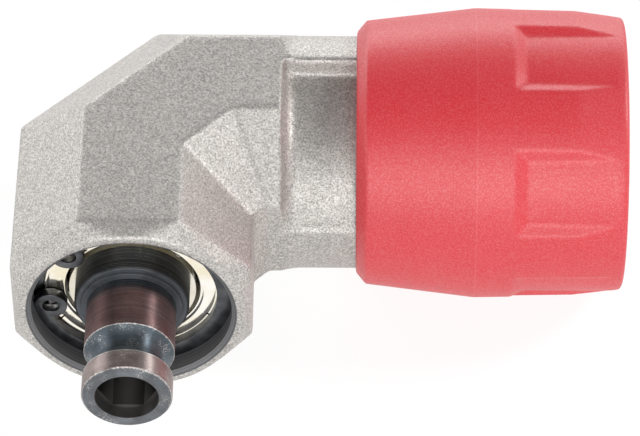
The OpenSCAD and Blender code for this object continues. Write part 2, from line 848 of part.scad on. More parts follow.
// Places of the screws through the skirt. Local Z points outward from the axis.
module screw_places() {
    for (i = [0:screw_count - 1])
        turned((i + 0.5) * full_turn / screw_count)
            translate([0, 0, (neck_end + spigot_end) / 2]) rotate([0, 90, 0]) children();
}

// Countersunk screw along the local Z axis, from its foot to its head.
module skirt_screw(gap) {
    head_top = skirt_r - screw_sink;
    head_foot = head_top - screw_head_share * screw_d;
    foot = screw_foot + screw_sink;
    translate([0, 0, foot]) cylinder(d = screw_d + 2 * gap, h = head_top - foot);
    translate([0, 0, head_foot])
        cylinder(r1 = screw_d / 2 + gap, r2 = screw_d / 2 + head_top - head_foot + gap,
                 h = head_top - head_foot);
}

module coupling_screws() {
    head_top = skirt_r - screw_sink;
    color("dimgray") along_drive() screw_places() difference() {
        skirt_screw(0);
        translate([0, 0, head_top - screw_head_share * screw_d / 2])
            hex_bar(screw_d / 2, screw_d);
    }
}

// Steel sleeve that takes the drill's nose, with the holes for the lock balls.
module coupling_sleeve() {
    shoulder = cam_start - run_gap;
    lip = lip_share * ball_wall;
    inner_reach = ball_at_r - socket_r - lip;
    lip_hole_r = sqrt(pow(ball_d / 2, 2) - pow(inner_reach, 2)) + run_gap;
    head_room = screw_head_share * screw_d;
    notch_start = spigot_end + notch_r;
    color("lightslategray") along_drive() difference() {
        union() {
            translate([0, 0, neck_end]) cylinder(r = skirt_r, h = shoulder - neck_end);
            translate([0, 0, neck_end]) cylinder(r = run_r, h = reach - neck_end);
        }
        translate([0, 0, neck_end - over])
            cylinder(r = spigot_r + press_gap, h = spigot_end - neck_end + over);
        translate([0, 0, neck_end]) cylinder(r = socket_r, h = reach - neck_end + over);
        translate([0, 0, reach - pilot_depth]) cylinder(r = pilot_r, h = pilot_depth + over);
        for (i = [0:notch_count - 1])
            turned((i + 0.5) * full_turn / notch_count)
                translate([socket_r, 0, notch_start])
                    cylinder(r = notch_r, h = reach - pilot_depth - notch_start + press_gap);
        for (turn = ball_turns) turned(turn) translate([0, 0, ball_at]) rotate([0, 90, 0]) {
            cylinder(r = lip_hole_r, h = wide / 2);
            translate([0, 0, socket_r + lip]) cylinder(d = ball_d + 2 * run_gap, h = wide / 2);
        }
        translate([0, 0, reach - snap_back - snap_t - press_gap])
            tube(run_r + over, run_r - snap_depth, snap_t + 2 * press_gap);
        screw_places() {
            skirt_screw(press_gap);
            translate([0, 0, skirt_r - screw_sink - press_gap])
                cylinder(r = screw_d / 2 + head_room + press_gap, h = over);
        }
        turned(0) translate([skirt_r - spring_leg, 0, spring_start]) rotate([0, 90, 0])
            cylinder(d = spring_wire + 2 * run_gap, h = spring_leg + over);
    }
}

module collar_thrust_washer() {
    color("gray") along_drive(cam_end + run_gap)
        tube(run_r + washer_rise, run_r + press_gap, washer_t);
}

module collar_retaining_ring() {
    color("darkgray") along_drive(reach - snap_back - snap_t)
        snap_ring(run_r + snap_rise, run_r - snap_depth + press_gap, snap_t, snap_gap);
}

// Torsion spring round the skirt: one leg in the sleeve, the other in the cam ring.
module collar_return_spring() {
    steps = spring_turns * spring_steps;
    rise = cam_start - spring_wire - spring_start;
    points = [
        for (i = [0:steps], j = [0:spring_sides - 1])
            let (turn = 90 + i * full_turn / spring_steps, side = j * full_turn / spring_sides,
                 r = spring_r + spring_wire / 2 * cos(side))
                [r * cos(turn), r * sin(turn),
                 spring_start + rise * i / steps + spring_wire / 2 * sin(side)]
    ];
    last = steps * spring_sides;
    faces = [
        [for (j = [spring_sides - 1:-1:0]) j],
        for (i = [0:steps - 1], j = [0:spring_sides - 1])
            let (a = i * spring_sides + j, b = i * spring_sides + (j + 1) % spring_sides)
                each [[a, b, a + spring_sides], [b, b + spring_sides, a + spring_sides]],
        [for (j = [0:spring_sides - 1]) last + j]
    ];
    color("gray") along_drive() {
        polyhedron(points, faces);
        turned(0) translate([0, 0, spring_start]) rotate([0, 90, 0])
            translate([0, 0, skirt_r - spring_leg + run_gap])
                cylinder(d = spring_wire, h = spring_r - skirt_r + spring_leg - run_gap);
        turned(0) translate([spring_r, 0, spring_start + rise])
            cylinder(d = spring_wire, h = spring_wire + spring_leg - run_gap);
    }
}

// Radius of the cam over one ball, from locked at share 0 to free at share 1.
function cam_radius(share) = cam_lock_r + ball_travel * min(1, max(0, share));

// Cam ring: its pockets hold the balls in at rest and let them out after the twist.
module cam_ring() {
    sweep = twist + 2 * cam_margin;
    color("lightslategray") along_drive() difference() {
        union() {
            translate([0, 0, cam_start]) cylinder(r = cam_r, h = cam_len);
            cam_keys(cam_key_len);
        }
        translate([0, 0, cam_start - over]) cylinder(r = run_r + run_gap, h = cam_len + 2 * over);
        for (turn = ball_turns)
            turned(turn) translate([0, 0, ball_at - cam_slot_half])
                linear_extrude(2 * cam_slot_half) polygon([
                    [0, 0],
                    for (i = [0:cam_steps])
                        let (back = sweep * i / cam_steps - cam_margin)
                            cam_radius(back / twist) * [cos(back), -sin(back)]
                ]);
        turned(0) translate([spring_r, 0, cam_start - over])
            cylinder(d = spring_wire + 2 * run_gap, h = spring_leg + over);
    }
}

// Keys that turn the cam ring with the collar, of a given length, or their keyways.
module cam_keys(len, gap = 0) {
    for (i = [0:ball_count - 1])
        turned(full_turn / pocket_count / 2 + i * full_turn / ball_count)
            translate([cam_r - cam_wall / 2, -cam_key_w / 2 - gap, cam_end - cam_key_len - gap])
                cube([cam_wall / 2 + cam_key_rise + gap, cam_key_w + 2 * gap, len + gap]);
}

// Space between the two slanted sides of a finger pocket. Its middle is on the local X axis,
// it widens toward the rear, and it reaches well past the widest ring.
module pocket_wedge() {
    half = pocket_angle / 2;
    lean = atan(seam_rise / pocket_slope) - half;
    side = pocket_slope * [sin(lean), cos(lean)];
    seat = floor_r * [cos(half), sin(half)];
    ends = [pocket_at - 2 * pocket_slope, reach + over];
    low = seat - side;
    high = seat + 3 * side;
    outer = [floor_r + 4 * seam_rise, high[1]];
    points = [
        for (i = [0, 1]) let (in = [0, pocket_draft * (1 - i)])
            for (p = [low - in, high - in, outer - in])
                each [[p[0], p[1], ends[i]], [p[0], -p[1], ends[i]]]
    ];
    polyhedron(points, [
        [0, 1, 3, 5, 4, 2], [6, 8, 10, 11, 9, 7], [0, 6, 7, 1], [1, 7, 9, 3],
        [3, 9, 11, 5], [5, 11, 10, 4], [4, 10, 8, 2], [2, 8, 6, 0]
    ]);
}

// Red grip: a waisted shell with finger pockets, keys in front and keyways behind.
module twist_collar() {
    end_r = floor_r - rear_drop;
    bore_r = cam_r + press_gap;
    color("firebrick") along_drive() difference() {
        union() {
            rotate_extrude() difference() {
                union() {
                    polygon([
                        [neck_r + collar_gap, collar_front], [neck_r + front_lip, collar_front],
                        [neck_r + front_wall, collar_front + front_chamfer],
                        [floor_r + seam_rise, collar_front + seam_at],
                        [floor_r + tail_rise, rear_cone_at],
                        [end_r, reach - rear_round], [end_r - rear_round, reach],
                        [neck_r + collar_gap, reach]
                    ]);
                    translate([end_r - rear_round, reach - rear_round]) circle(r = rear_round);
                }
                translate([0, neck_end + key_gap]) square([spring_bore_r, wide]);
                translate([0, cam_start]) square([bore_r, wide]);
            }
            for (side = [0, 1])
                turned(track_turn - track_angle / 2 + stop_gap + side * full_turn / 2)
                    translate([0, 0, collar_front + key_setback])
                        sector(neck_r + front_wall / 2, track_r + key_gap,
                               collar_overlap - key_setback - key_gap, key_angle);
        }
        intersection() {
            rotate_extrude() polygon([
                [floor_r, pocket_at + pocket_slope], [floor_r, reach + over],
                [floor_r + 3 * seam_rise, reach + over],
                [floor_r + 3 * seam_rise, pocket_at - 2 * pocket_slope]
            ]);
            for (i = [0:pocket_count - 1]) turned(i * full_turn / pocket_count) pocket_wedge();
        }
        cam_keys(wide, press_gap);
    }
}

module lock_ball(index) {
    color("lightgray") along_drive(ball_at) turned(ball_turns[index])
        translate([ball_at_r, 0, 0]) sphere(d = ball_d);
}

gear_housing();
output_bearing_outer_race();
output_bearing_shields();
output_circlip();
mesh_shim();
rear_bush();
front_bearing_outer_race();
rear_bearing_outer_race();
outer_bearing_spacer();
input_circlip();
coupling_sleeve();
coupling_screws();
collar_thrust_washer();
collar_retaining_ring();
collar_return_spring();
output_spindle();
output_bevel_gear();
output_gear_pin();
bit_magnet();
bit_retaining_ring();
output_bearing_inner_race();
output_bearing_balls();
output_bearing_cage();
input_shaft();
input_bevel_gear();
input_gear_pin();
front_bearing_inner_race();
rear_bearing_inner_race();
inner_bearing_spacer();
input_shaft_ring();
front_bearing_balls();
front_bearing_cage();
rear_bearing_balls();
rear_bearing_cage();
twist_collar();
cam_ring();
lock_ball(0);  // lock_ball_1
lock_ball(1);  // lock_ball_2
lock_ball(2);  // lock_ball_3
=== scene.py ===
"""Looks of a right angle drill attachment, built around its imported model.

The drive runs along +X, the output spindle points to -Y and the flat front of the elbow
faces +Z. The origin is the centre of the coupling face. Sizes are in millimetres unless a
name ends in _m, and are turned to metres where a mesh or a node takes them.
"""

import json
import logging
import math
from dataclasses import dataclass
from enum import Enum
from typing import Any

import bmesh
import bpy
from bpy.types import Material, Mesh, Node, NodeSocket, NodeTree, Object
from mathutils import Matrix, Vector

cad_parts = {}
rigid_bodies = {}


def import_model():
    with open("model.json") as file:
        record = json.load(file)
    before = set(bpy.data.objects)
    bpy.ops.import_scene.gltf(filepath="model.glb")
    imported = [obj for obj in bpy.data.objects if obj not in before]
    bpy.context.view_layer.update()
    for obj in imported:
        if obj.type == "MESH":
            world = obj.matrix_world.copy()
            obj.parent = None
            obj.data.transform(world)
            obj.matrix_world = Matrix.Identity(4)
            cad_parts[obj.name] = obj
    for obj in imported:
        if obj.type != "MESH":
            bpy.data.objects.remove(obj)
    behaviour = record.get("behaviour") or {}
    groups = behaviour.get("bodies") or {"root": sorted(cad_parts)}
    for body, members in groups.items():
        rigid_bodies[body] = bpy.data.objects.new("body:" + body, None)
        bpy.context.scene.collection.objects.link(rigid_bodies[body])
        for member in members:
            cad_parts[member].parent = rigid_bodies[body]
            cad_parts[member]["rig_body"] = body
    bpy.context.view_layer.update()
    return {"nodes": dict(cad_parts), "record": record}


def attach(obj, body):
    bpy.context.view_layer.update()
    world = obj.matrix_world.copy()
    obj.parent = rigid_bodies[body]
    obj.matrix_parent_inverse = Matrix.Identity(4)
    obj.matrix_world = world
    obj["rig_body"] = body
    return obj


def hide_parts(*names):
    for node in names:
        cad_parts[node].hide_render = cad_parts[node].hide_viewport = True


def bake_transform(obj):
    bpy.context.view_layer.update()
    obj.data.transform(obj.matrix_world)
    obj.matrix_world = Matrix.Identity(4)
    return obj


LOG = logging.getLogger("right_angle_head")
MM = 0.001
WELD_MM = 0.001
CROSSING_X = -59.4
WHITE = (1, 1, 1, 1)
# Most of a noise lies between these.
NOISE_MIDDLE = (0.3, 0.7)


def linear(colour: str) -> tuple[float, float, float, float]:
    """Turns an sRGB hex colour to linear.

    Args:
        colour: Six hex digits, as in "c0c0c0".

    Returns:
        Red, green and blue as the shaders take them, and an alpha of 1.
    """
    parts = [int(colour[i:i + 2], 16) / 255 for i in (0, 2, 4)]
    red, green, blue = (c / 12.92 if c <= 0.04045 else ((c + 0.055) / 1.055) ** 2.4
                        for c in parts)
    return red, green, blue, 1.0


def per_metre(size_mm: float) -> float:
    """Gives a texture's scale for a feature of a given size in millimetres."""
    return 1 / (size_mm * MM)


def add(tree: NodeTree, kind: str, inputs: dict[str | int, Any] | None = None,
        **settings: Any) -> Node:
    """Adds one node with its settings, its values and its links.

    Args:
        tree: The tree that takes the node.
        kind: The node's type.
        inputs: Socket name or index to a value, or to the output that feeds it.
        settings: The node's own properties.

    Returns:
        The new node.
    """
    node = tree.nodes.new(kind)
    for name, value in settings.items():
        setattr(node, name, value)
    for name, value in (inputs or {}).items():
        if isinstance(value, NodeSocket):
            tree.links.new(value, node.inputs[name])
        else:
            node.inputs[name].default_value = value
    return node


class Turned(Enum):
    """An axis that pieces are turned about: the way it runs, and the X of a point on it."""

    DRIVE = ((-1, 0, 0), 0)
    NOSE = ((0, -1, 0), CROSSING_X)

    def centred(self, tree: NodeTree) -> NodeSocket:
        """Gives the place on a piece in millimetres, counted from the axis's point."""
        here = add(tree, "ShaderNodeTexCoord").outputs["Object"]
        return add(tree, "ShaderNodeMapping",
                   {"Vector": here, "Location": (-self.value[1], 0, 0),
                    "Scale": (1 / MM, 1 / MM, 1 / MM)}).outputs[0]

    def across(self, tree: NodeTree) -> NodeSocket:
        """Gives the same place as seen along the axis, with no depth."""
        kept = tuple(1 - abs(part) for part in self.value[0])
        return add(tree, "ShaderNodeVectorMath", {0: self.centred(tree), 1: kept},
                   operation="MULTIPLY").outputs[0]

    def place(self, tree: NodeTree) -> tuple[NodeSocket, NodeSocket]:
        """Gives a place as the axis sees it.

        Args:
            tree: The material's tree.

        Returns:
            How far along the axis it lies and how far out from it, in millimetres.
        """
        along = add(tree, "ShaderNodeVectorMath", {0: self.centred(tree), 1: self.value[0]},
                    operation="DOT_PRODUCT").outputs["Value"]
        out = add(tree, "ShaderNodeVectorMath", {0: self.across(tree)},
                  operation="LENGTH").outputs["Value"]
        return along, out


class Cut(Enum):
    """What a tool shape does to a piece."""

    AWAY = "DIFFERENCE"
    ADDED = "UNION"
    MET = "INTERSECT"


@dataclass(frozen=True)
class Span:
    """The stretch of a pattern over which a share or a roughness runs between two values."""

    low: float
    high: float
    at_low: float = 0
    at_high: float = 1

    @classmethod
    def about(cls, value: float, spread: tuple[float, float]) -> "Span":
        """Runs between two shares of a value over the middle of a noise."""
        return cls(*NOISE_MIDDLE, value * spread[0], value * spread[1])

    def inputs(self, pattern: NodeSocket) -> dict[str, Any]:
        """Gives what a Map Range node takes to follow a pattern."""
        return {"Value": pattern, "From Min": self.low, "From Max": self.high,
                "To Min": self.at_low, "To Max": self.at_high}


@dataclass(frozen=True)
class Finish:
    """A surface as it was made. Each kind of finish says how its shader is built."""

    name: str
    colour: str

    def material(self) -> Material:
        """Builds the finish's material, once for each name.

        Returns:
            The material.
        """
        found = bpy.data.materials.get(self.name)
        if found:
            return found
        made = bpy.data.materials.new(self.name)
        made.use_nodes = True
        tree = made.node_tree
        tree.nodes.clear()
        shader = add(tree, "ShaderNodeBsdfPrincipled")
        self.dress(tree, shader)
        add(tree, "ShaderNodeOutputMaterial", {"Surface": shader.outputs["BSDF"]})
        return made

    def dress(self, tree: NodeTree, shader: Node) -> None:
        """Sets the shader's sockets. Each kind of finish has its own."""
        raise NotImplementedError

    def pattern(self, tree: NodeTree, size_mm: float, detail: float,
                along: NodeSocket | None = None, roughness: float = 0.6) -> NodeSocket:
        """Gives an uneven pattern whose features have a real size.

        Args:
            tree: The material's tree.
            size_mm: The size of one feature.
            detail: Octaves of finer features.
            along: A coordinate in millimetres that it follows alone, as rings do.
            roughness: The share that each finer octave has.

        Returns:
            The pattern from 0 to 1.
        """
        if along is None:
            here = add(tree, "ShaderNodeTexCoord").outputs["Object"]
            inputs = {"Vector": here, "Scale": per_metre(size_mm)}
        else:
            inputs = {"W": along, "Scale": 1 / size_mm}
        return add(tree, "ShaderNodeTexNoise",
                   {**inputs, "Detail": detail, "Roughness": roughness},
                   noise_dimensions="3D" if along is None else "1D").outputs["Fac"]

    def tint(self, tree: NodeTree, under: Any, over: Any, pattern: NodeSocket,
             span: Span | None = None) -> NodeSocket:
        """Lays one colour over another where a pattern asks for it.

        Args:
            tree: The material's tree.
            under: The colour that is covered, or the output that gives it.
            over: The colour on top, or the output that gives it.
            pattern: The pattern that the top colour's share follows.
            span: How it follows, or None where the pattern is the share.

        Returns:
            The colour of both.
        """
        if span:
            pattern = add(tree, "ShaderNodeMapRange", span.inputs(pattern)).outputs[0]
        return add(tree, "ShaderNodeMix", {0: pattern, 6: under, 7: over},
                   data_type="RGBA").outputs[2]

    def agreed(self, tree: NodeTree, parts: tuple[tuple[NodeSocket, Span], ...]) -> NodeSocket:
        """Gives the share of the surface on which several patterns agree.

        Args:
            tree: The material's tree.
            parts: Each pattern, and how the share follows it.

        Returns:
            The product of their shares.
        """
        share: Any = 1
        for pattern, span in parts:
            part = add(tree, "ShaderNodeMapRange", span.inputs(pattern)).outputs[0]
            share = add(tree, "ShaderNodeMath", {0: share, 1: part},
                        operation="MULTIPLY").outputs[0]
        return share

    def lay(self, tree: NodeTree, shader: Node, skin: NodeSocket, relief: NodeSocket,
            gloss: Span, depth_mm: float, strength: NodeSocket | float = 1) -> None:
        """Gives the shader its colour, and its roughness and dents from one pattern.

        Args:
            tree: The material's tree.
            shader: The surface's shader.
            skin: The output that gives the colour.
            relief: The pattern, where 1 stands out.
            gloss: How the roughness follows it.
            depth_mm: The depth that 1 stands for.
            strength: The share of the dents that shows, or the output that gives it.
        """
        rough = add(tree, "ShaderNodeMapRange", gloss.inputs(relief))
        dents = add(tree, "ShaderNodeBump", {"Height": relief, "Distance": depth_mm * MM,
                                             "Strength": strength})
        for socket, output in (("Base Color", skin), ("Roughness", rough.outputs[0]),
                               ("Normal", dents.outputs[0])):
            tree.links.new(output, shader.inputs[socket])


@dataclass(frozen=True)
class BlastedCasting(Finish):
    """Die-cast aluminium, shot-blasted: a matt skin of fine dents, with glints painted on some
    facets.
    """

    dark_colour: str = "8f8e8b"
    painted_glint_colour: str = "fbfaf8"
    machined_shade_colour: str = "6c6d6f"
    shaded_ring_colour: str = "8b8c8e"
    metallic: float = 0.6
    grain_mm: float = 0.19
    mottle_mm: float = 0.7
    cloud_mm: float = 6
    ring_mm: float = 0.2
    dent_mm: float = 0.02
    bored_out: Span = Span(12.58, 12.66, 1, 0)
    bored_along: Span = Span(15, 15.1)
    dents_by_bored: Span = Span(0, 1, 0.6, 0.1)
    dark_dents: Span = Span(0.34, 0.6, 0.85, 0)
    dark_mottle: Span = Span(0.35, 0.65, 0, 0.22)
    dark_clouds: Span = Span(0.35, 0.7, 0, 0.12)
    painted_glints: Span = Span(0.8, 1, 0, 0.4)
    rings: Span = Span(0.35, 0.65)
    gloss: Span = Span(0.3, 0.7, 0.6, 0.46)

    def dress(self, tree: NodeTree, shader: Node) -> None:
        """Grain in colour, roughness and bump, but for the mouth's bored wall: machined rings
        in painted shade.

        Args:
            tree: The material's tree.
            shader: The surface's shader.
        """
        dents = self.pattern(tree, self.grain_mm, 1)
        skin: Any = linear(self.colour)
        for pattern, span in ((dents, self.dark_dents),
                              (self.pattern(tree, self.mottle_mm, 2), self.dark_mottle),
                              (self.pattern(tree, self.cloud_mm, 3), self.dark_clouds)):
            skin = self.tint(tree, skin, linear(self.dark_colour), pattern, span)
        # Near-white facets are painted glints that stand in for the blasted skin's sparkle.
        here = add(tree, "ShaderNodeTexCoord").outputs["Object"]
        facets = add(tree, "ShaderNodeTexVoronoi",
                     {"Vector": here, "Scale": per_metre(self.grain_mm)}).outputs["Color"]
        facet = add(tree, "ShaderNodeSeparateColor", {0: facets}).outputs[0]
        skin = self.tint(tree, skin, linear(self.painted_glint_colour), facet, self.painted_glints)
        # The bored wall of the mouth is painted darker as shade, over its machined rings.
        along, out = Turned.NOSE.place(tree)
        bored = self.agreed(tree, ((out, self.bored_out), (along, self.bored_along)))
        wall = self.tint(tree, linear(self.machined_shade_colour), linear(self.shaded_ring_colour),
                         self.pattern(tree, self.ring_mm, 3, along, 0.5), self.rings)
        skin = self.tint(tree, skin, wall, bored)
        dented = add(tree, "ShaderNodeMapRange", self.dents_by_bored.inputs(bored)).outputs[0]
        shader.inputs["Metallic"].default_value = self.metallic
        self.lay(tree, shader, skin, dents, self.gloss, self.dent_mm, dented)


@dataclass(frozen=True)
class MouldedNylon(Finish):
    """Glass-filled nylon from a spark-eroded mould: an even, dull orange-peel texture."""

    pale_and_sheen_colour: str = "ea787a"
    # Nylon's own is 1.53. The glass at the skin reflects more.
    ior: float = 1.8
    grain_mm: float = 0.2
    cloud_mm: float = 8
    peel_mm: float = 0.02
    peel_strength: float = 0.7
    seam_at: float = 41.2
    # A pale line along the parting line, painted as the seam's highlight.
    painted_seam_highlight: Span = Span(0, 0.16, 0.22, 0)
    painted_sheen_peel: Span = Span(0.42, 0.66, 0, 0.34)
    light_clouds: Span = Span(0.3, 0.7, 0, 0.06)
    gloss: Span = Span(0.3, 0.7, 0.52, 0.4)

    def dress(self, tree: NodeTree, shader: Node) -> None:
        """Fine peel in bump, and in pale specks of colour that are partly painted sheen, under
        a soft gloss.

        Args:
            tree: The material's tree.
            shader: The surface's shader.
        """
        peel = self.pattern(tree, self.grain_mm, 1)
        clouds = self.pattern(tree, self.cloud_mm, 2)
        skin: Any = linear(self.colour)
        # Pale specks on the peel's high points are partly painted sheen.
        for pattern, span in ((peel, self.painted_sheen_peel), (clouds, self.light_clouds),
                              # The parting line's pale line is a painted highlight.
                              (self.off_seam(tree), self.painted_seam_highlight)):
            skin = self.tint(tree, skin, linear(self.pale_and_sheen_colour), pattern, span)
        shader.inputs["IOR"].default_value = self.ior
        self.lay(tree, shader, skin, peel, self.gloss, self.peel_mm, self.peel_strength)

    def off_seam(self, tree: NodeTree) -> NodeSocket:
        """Gives the distance from the widest ring, where the mould parts.

        Args:
            tree: The material's tree.

        Returns:
            The distance in millimetres.
        """
        along, _ = Turned.DRIVE.place(tree)
        off = add(tree, "ShaderNodeMath", {0: along, 1: CROSSING_X + self.seam_at},
                  operation="ADD").outputs[0]
        return add(tree, "ShaderNodeMath", {0: off}, operation="ABSOLUTE").outputs[0]


@dataclass(frozen=True)
class LatheFinish(Finish):
    """Metal turned on a lathe: fine rings round one axis, with faint patches of tint."""

    tint_colour: str
    turned: Turned = Turned.DRIVE
    roughness: float = 0.3
    ring_mm: float = 0.18
    ring_detail: float = 3
    ring_share: float = 0.7
    ring_depth: float = 0.006
    patch_mm: float = 3
    tint_patches: Span = Span(0.35, 0.68, 0, 0.85)
    tint_rings: Span = Span(0.4, 0.75, 0, 0.35)
    gloss_spread: tuple[float, float] = (0.8, 1.3)

    def rings(self, tree: NodeTree) -> NodeSocket:
        """Gives the lathe's rings, which run on from the sides to the faces.

        Args:
            tree: The material's tree.

        Returns:
            The rings from 0 to 1, the same all round.
        """
        along, out = self.turned.place(tree)
        run = add(tree, "ShaderNodeMath", {0: out, 1: along}, operation="SUBTRACT").outputs[0]
        return self.pattern(tree, self.ring_mm, self.ring_detail, run, self.ring_share)

    def dress(self, tree: NodeTree, shader: Node) -> None:
        """Rings in bump and roughness, with patches of the tint.

        Args:
            tree: The material's tree.
            shader: The surface's shader.
        """
        rings = self.rings(tree)
        skin: Any = linear(self.colour)
        for pattern, span in ((self.pattern(tree, self.patch_mm, 3), self.tint_patches),
                              (rings, self.tint_rings)):
            skin = self.tint(tree, skin, linear(self.tint_colour), pattern, span)
        shader.inputs["Metallic"].default_value = 1
        self.lay(tree, shader, skin, rings, Span.about(self.roughness, self.gloss_spread),
                 self.ring_depth)


@dataclass(frozen=True)
class WornOxide(LatheFinish):
    """Turned steel, tinted by its oxide bath, polished by use, with painted highlights on its
    edges.

    A band has its start along the nose, the length over which it blends in, and its colour.
    An edge has its place along the nose and its radius.
    """

    bands: tuple[tuple[float, float, str], ...] = ()
    edges: tuple[tuple[float, float], ...] = ()
    bright_colour: str = "e6e4e0"
    bore_colour: str = "605e5d"
    ring_detail: float = 4
    ring_share: float = 0.75
    speck_mm: float = 0.16
    area_mm: float = 1.9
    ragged_mm: float = 0.3
    drawn_out: float = 0.9
    tint_patches: Span = Span(0.4, 0.7, 0, 0.45)
    painted_line_reflections: Span = Span(0.55, 0.8, 0, 0.5)
    ragged: Span = Span(0.3, 0.7, 0.4, 1.7)
    worn_edge_highlight: Span = Span(0.035, 0.098, 0.85, 0)
    bore: Span = Span(3.81, 3.86, 1, 0)
    speck_highlight_along: Span = Span(32.1, 32.7, 0.12, 1)
    specks: Span = Span(0.52, 0.66, 0, 0.8)
    areas: Span = Span(0.5, 0.66)
    gloss_spread: tuple[float, float] = (0.7, 1.35)

    def dress(self, tree: NodeTree, shader: Node) -> None:
        """Bands of tint along the nose, lathe lines painted bright as reflections, and edges
        worn bright, partly painted highlight.

        Args:
            tree: The material's tree.
            shader: The surface's shader.
        """
        along, out = self.turned.place(tree)
        lines = self.rings(tree)
        # Bright specks on the tip and the groove are painted highlight, laid like steel that
        # chucked tools rub bare.
        painted_speck_highlight = self.agreed(tree, ((self.pattern(tree, self.speck_mm, 3), self.specks),
                                    (self.pattern(tree, self.area_mm, 2), self.areas),
                                    (along, self.speck_highlight_along)))
        bright = linear(self.bright_colour)
        skin: Any = linear(self.colour)
        for start, run, colour in self.bands:
            skin = self.tint(tree, skin, linear(colour), along, Span(start, start + run))
        for over, pattern, span in (
                (linear(self.tint_colour), self.pattern(tree, self.patch_mm, 3),
                 self.tint_patches),
                # Bright lathe lines are painted reflections.
                (bright, lines, self.painted_line_reflections),
                # Near an edge: bared steel that also stands in for the edge's highlight.
                (bright, self.off_edges(tree, along, out), self.worn_edge_highlight),
                (bright, painted_speck_highlight, None), (linear(self.bore_colour), out, self.bore)):
            skin = self.tint(tree, skin, over, pattern, span)
        shader.inputs["Metallic"].default_value = 1
        shader.inputs["Anisotropic"].default_value = self.drawn_out
        tree.links.new(self.across_lines(tree), shader.inputs["Tangent"])
        self.lay(tree, shader, skin, lines, Span.about(self.roughness, self.gloss_spread),
                 self.ring_depth)

    def across_lines(self, tree: NodeTree) -> NodeSocket:
        """Gives the way across the lathe lines, in which they draw a highlight out.

        Args:
            tree: The material's tree.

        Returns:
            The way, as the shader's tangent.
        """
        outward = add(tree, "ShaderNodeVectorMath", {0: self.turned.across(tree)},
                      operation="NORMALIZE").outputs[0]
        way = add(tree, "ShaderNodeVectorMath", {0: outward, 1: (0, 1, 0)},
                  operation="ADD").outputs[0]
        return add(tree, "ShaderNodeVectorTransform", {0: way}, vector_type="VECTOR",
                   convert_from="OBJECT", convert_to="WORLD").outputs[0]

    def off_edges(self, tree: NodeTree, along: NodeSocket, out: NodeSocket) -> NodeSocket:
        """Gives the distance from the nearest edge, which a noise makes ragged.

        Args:
            tree: The material's tree.
            along: The place along the spindle in millimetres.
            out: The distance from its axis in millimetres.

        Returns:
            The distance in millimetres.
        """
        here = add(tree, "ShaderNodeCombineXYZ", {"X": along, "Y": out}).outputs[0]
        nearest, *others = (add(tree, "ShaderNodeVectorMath", {0: here, 1: (*edge, 0)},
                                operation="DISTANCE").outputs["Value"]
                            for edge in self.edges)
        for gap in others:
            nearest = add(tree, "ShaderNodeMath", {0: nearest, 1: gap},
                          operation="MINIMUM").outputs[0]
        ragged = add(tree, "ShaderNodeMapRange",
                     self.ragged.inputs(self.pattern(tree, self.ragged_mm, 3))).outputs[0]
        return add(tree, "ShaderNodeMath", {0: nearest, 1: ragged},
                   operation="MULTIPLY").outputs[0]


@dataclass(frozen=True)
class SheetFinish(Finish):
    """Rolled, ground, pressed or moulded stock: smooth, with faint clouds and a fine grain."""

    tint_colour: str
    metallic: float = 1
    roughness: float = 0.2
    cloud_mm: float = 4
    grain_mm: float = 0.3
    depth_mm: float = 0.004
    tint_clouds: Span = Span(0.35, 0.65)
    gloss_spread: tuple[float, float] = (0.8, 1.25)

    def dress(self, tree: NodeTree, shader: Node) -> None:
        """Soft clouds in colour over a fine grain in roughness and bump.

        Args:
            tree: The material's tree.
            shader: The surface's shader.
        """
        skin = self.tint(tree, linear(self.colour), linear(self.tint_colour),
                         self.pattern(tree, self.cloud_mm, 2), self.tint_clouds)
        shader.inputs["Metallic"].default_value = self.metallic
        self.lay(tree, shader, skin, self.pattern(tree, self.grain_mm, 3),
                 Span.about(self.roughness, self.gloss_spread), self.depth_mm)


# Shot-blasting leaves the casting pale and matt; its fine sparkle is painted as glints.
DIE_CAST = BlastedCasting("die_cast_aluminium", "d8d3ce")
# The mould's texture speckles the red pale, and the specks carry a painted sheen all round.
RED_NYLON = MouldedNylon("moulded_red_nylon", "dd1a2c")
# The oxide bath is grey on the shoulder and brown on the nose, and use bares its edges; bright
# edges, lines and specks are partly painted highlight.
OXIDE_STEEL = WornOxide("worn_black_oxide_steel", "313436", "3a3535", Turned.NOSE,
                        roughness=0.42, ring_mm=0.1, patch_mm=2.2,
                        bands=((25.15, 0.1, "5b6066"), (25.65, 0.1, "40484e"),
                               (26.3, 1.3, "7a5f5f"), (32.55, 0.1, "59646c"),
                               (36.55, 0.1, "a0928f"), (39.3, 0.1, "777b80")),
                        edges=((32.6, 5.4), (36.65, 5.4), (39.36, 5.32)))
# The ground outer race's near-black colour is painted shade for its place deep in the mouth; it
# keeps a soft gloss.
SHADED_RACE_STEEL = SheetFinish("shaded_race_steel", "5a5b5e", "47484b", roughness=0.22, cloud_mm=3,
                         depth_mm=0.003)
# Pressing keeps the plated sheet bright, so it mirrors the studio with a warm tinge.
SHIELD_ZINC = SheetFinish("zinc_plated_shield", "fdfaf2", "f3ead2", roughness=0.1)
# The inner race's ground face is almost as bright as the shield beside it.
RACE_FACE = SheetFinish("ground_race_steel", "f4f1e8", "e3dccb", roughness=0.14, cloud_mm=5,
                        depth_mm=0.002)
# Phosphate makes stamped and wound spring steel dull and dark grey.
SPRING_STEEL = SheetFinish("phosphated_spring_steel", "6c6d70", "4e4f52", roughness=0.38,
                           cloud_mm=2, depth_mm=0.01)
# Fine grinding leaves a clean, cool mirror.
BEARING_STEEL = SheetFinish("ground_bearing_steel", "c4c6ca", "b4b6ba", roughness=0.12,
                            cloud_mm=6, depth_mm=0.002)
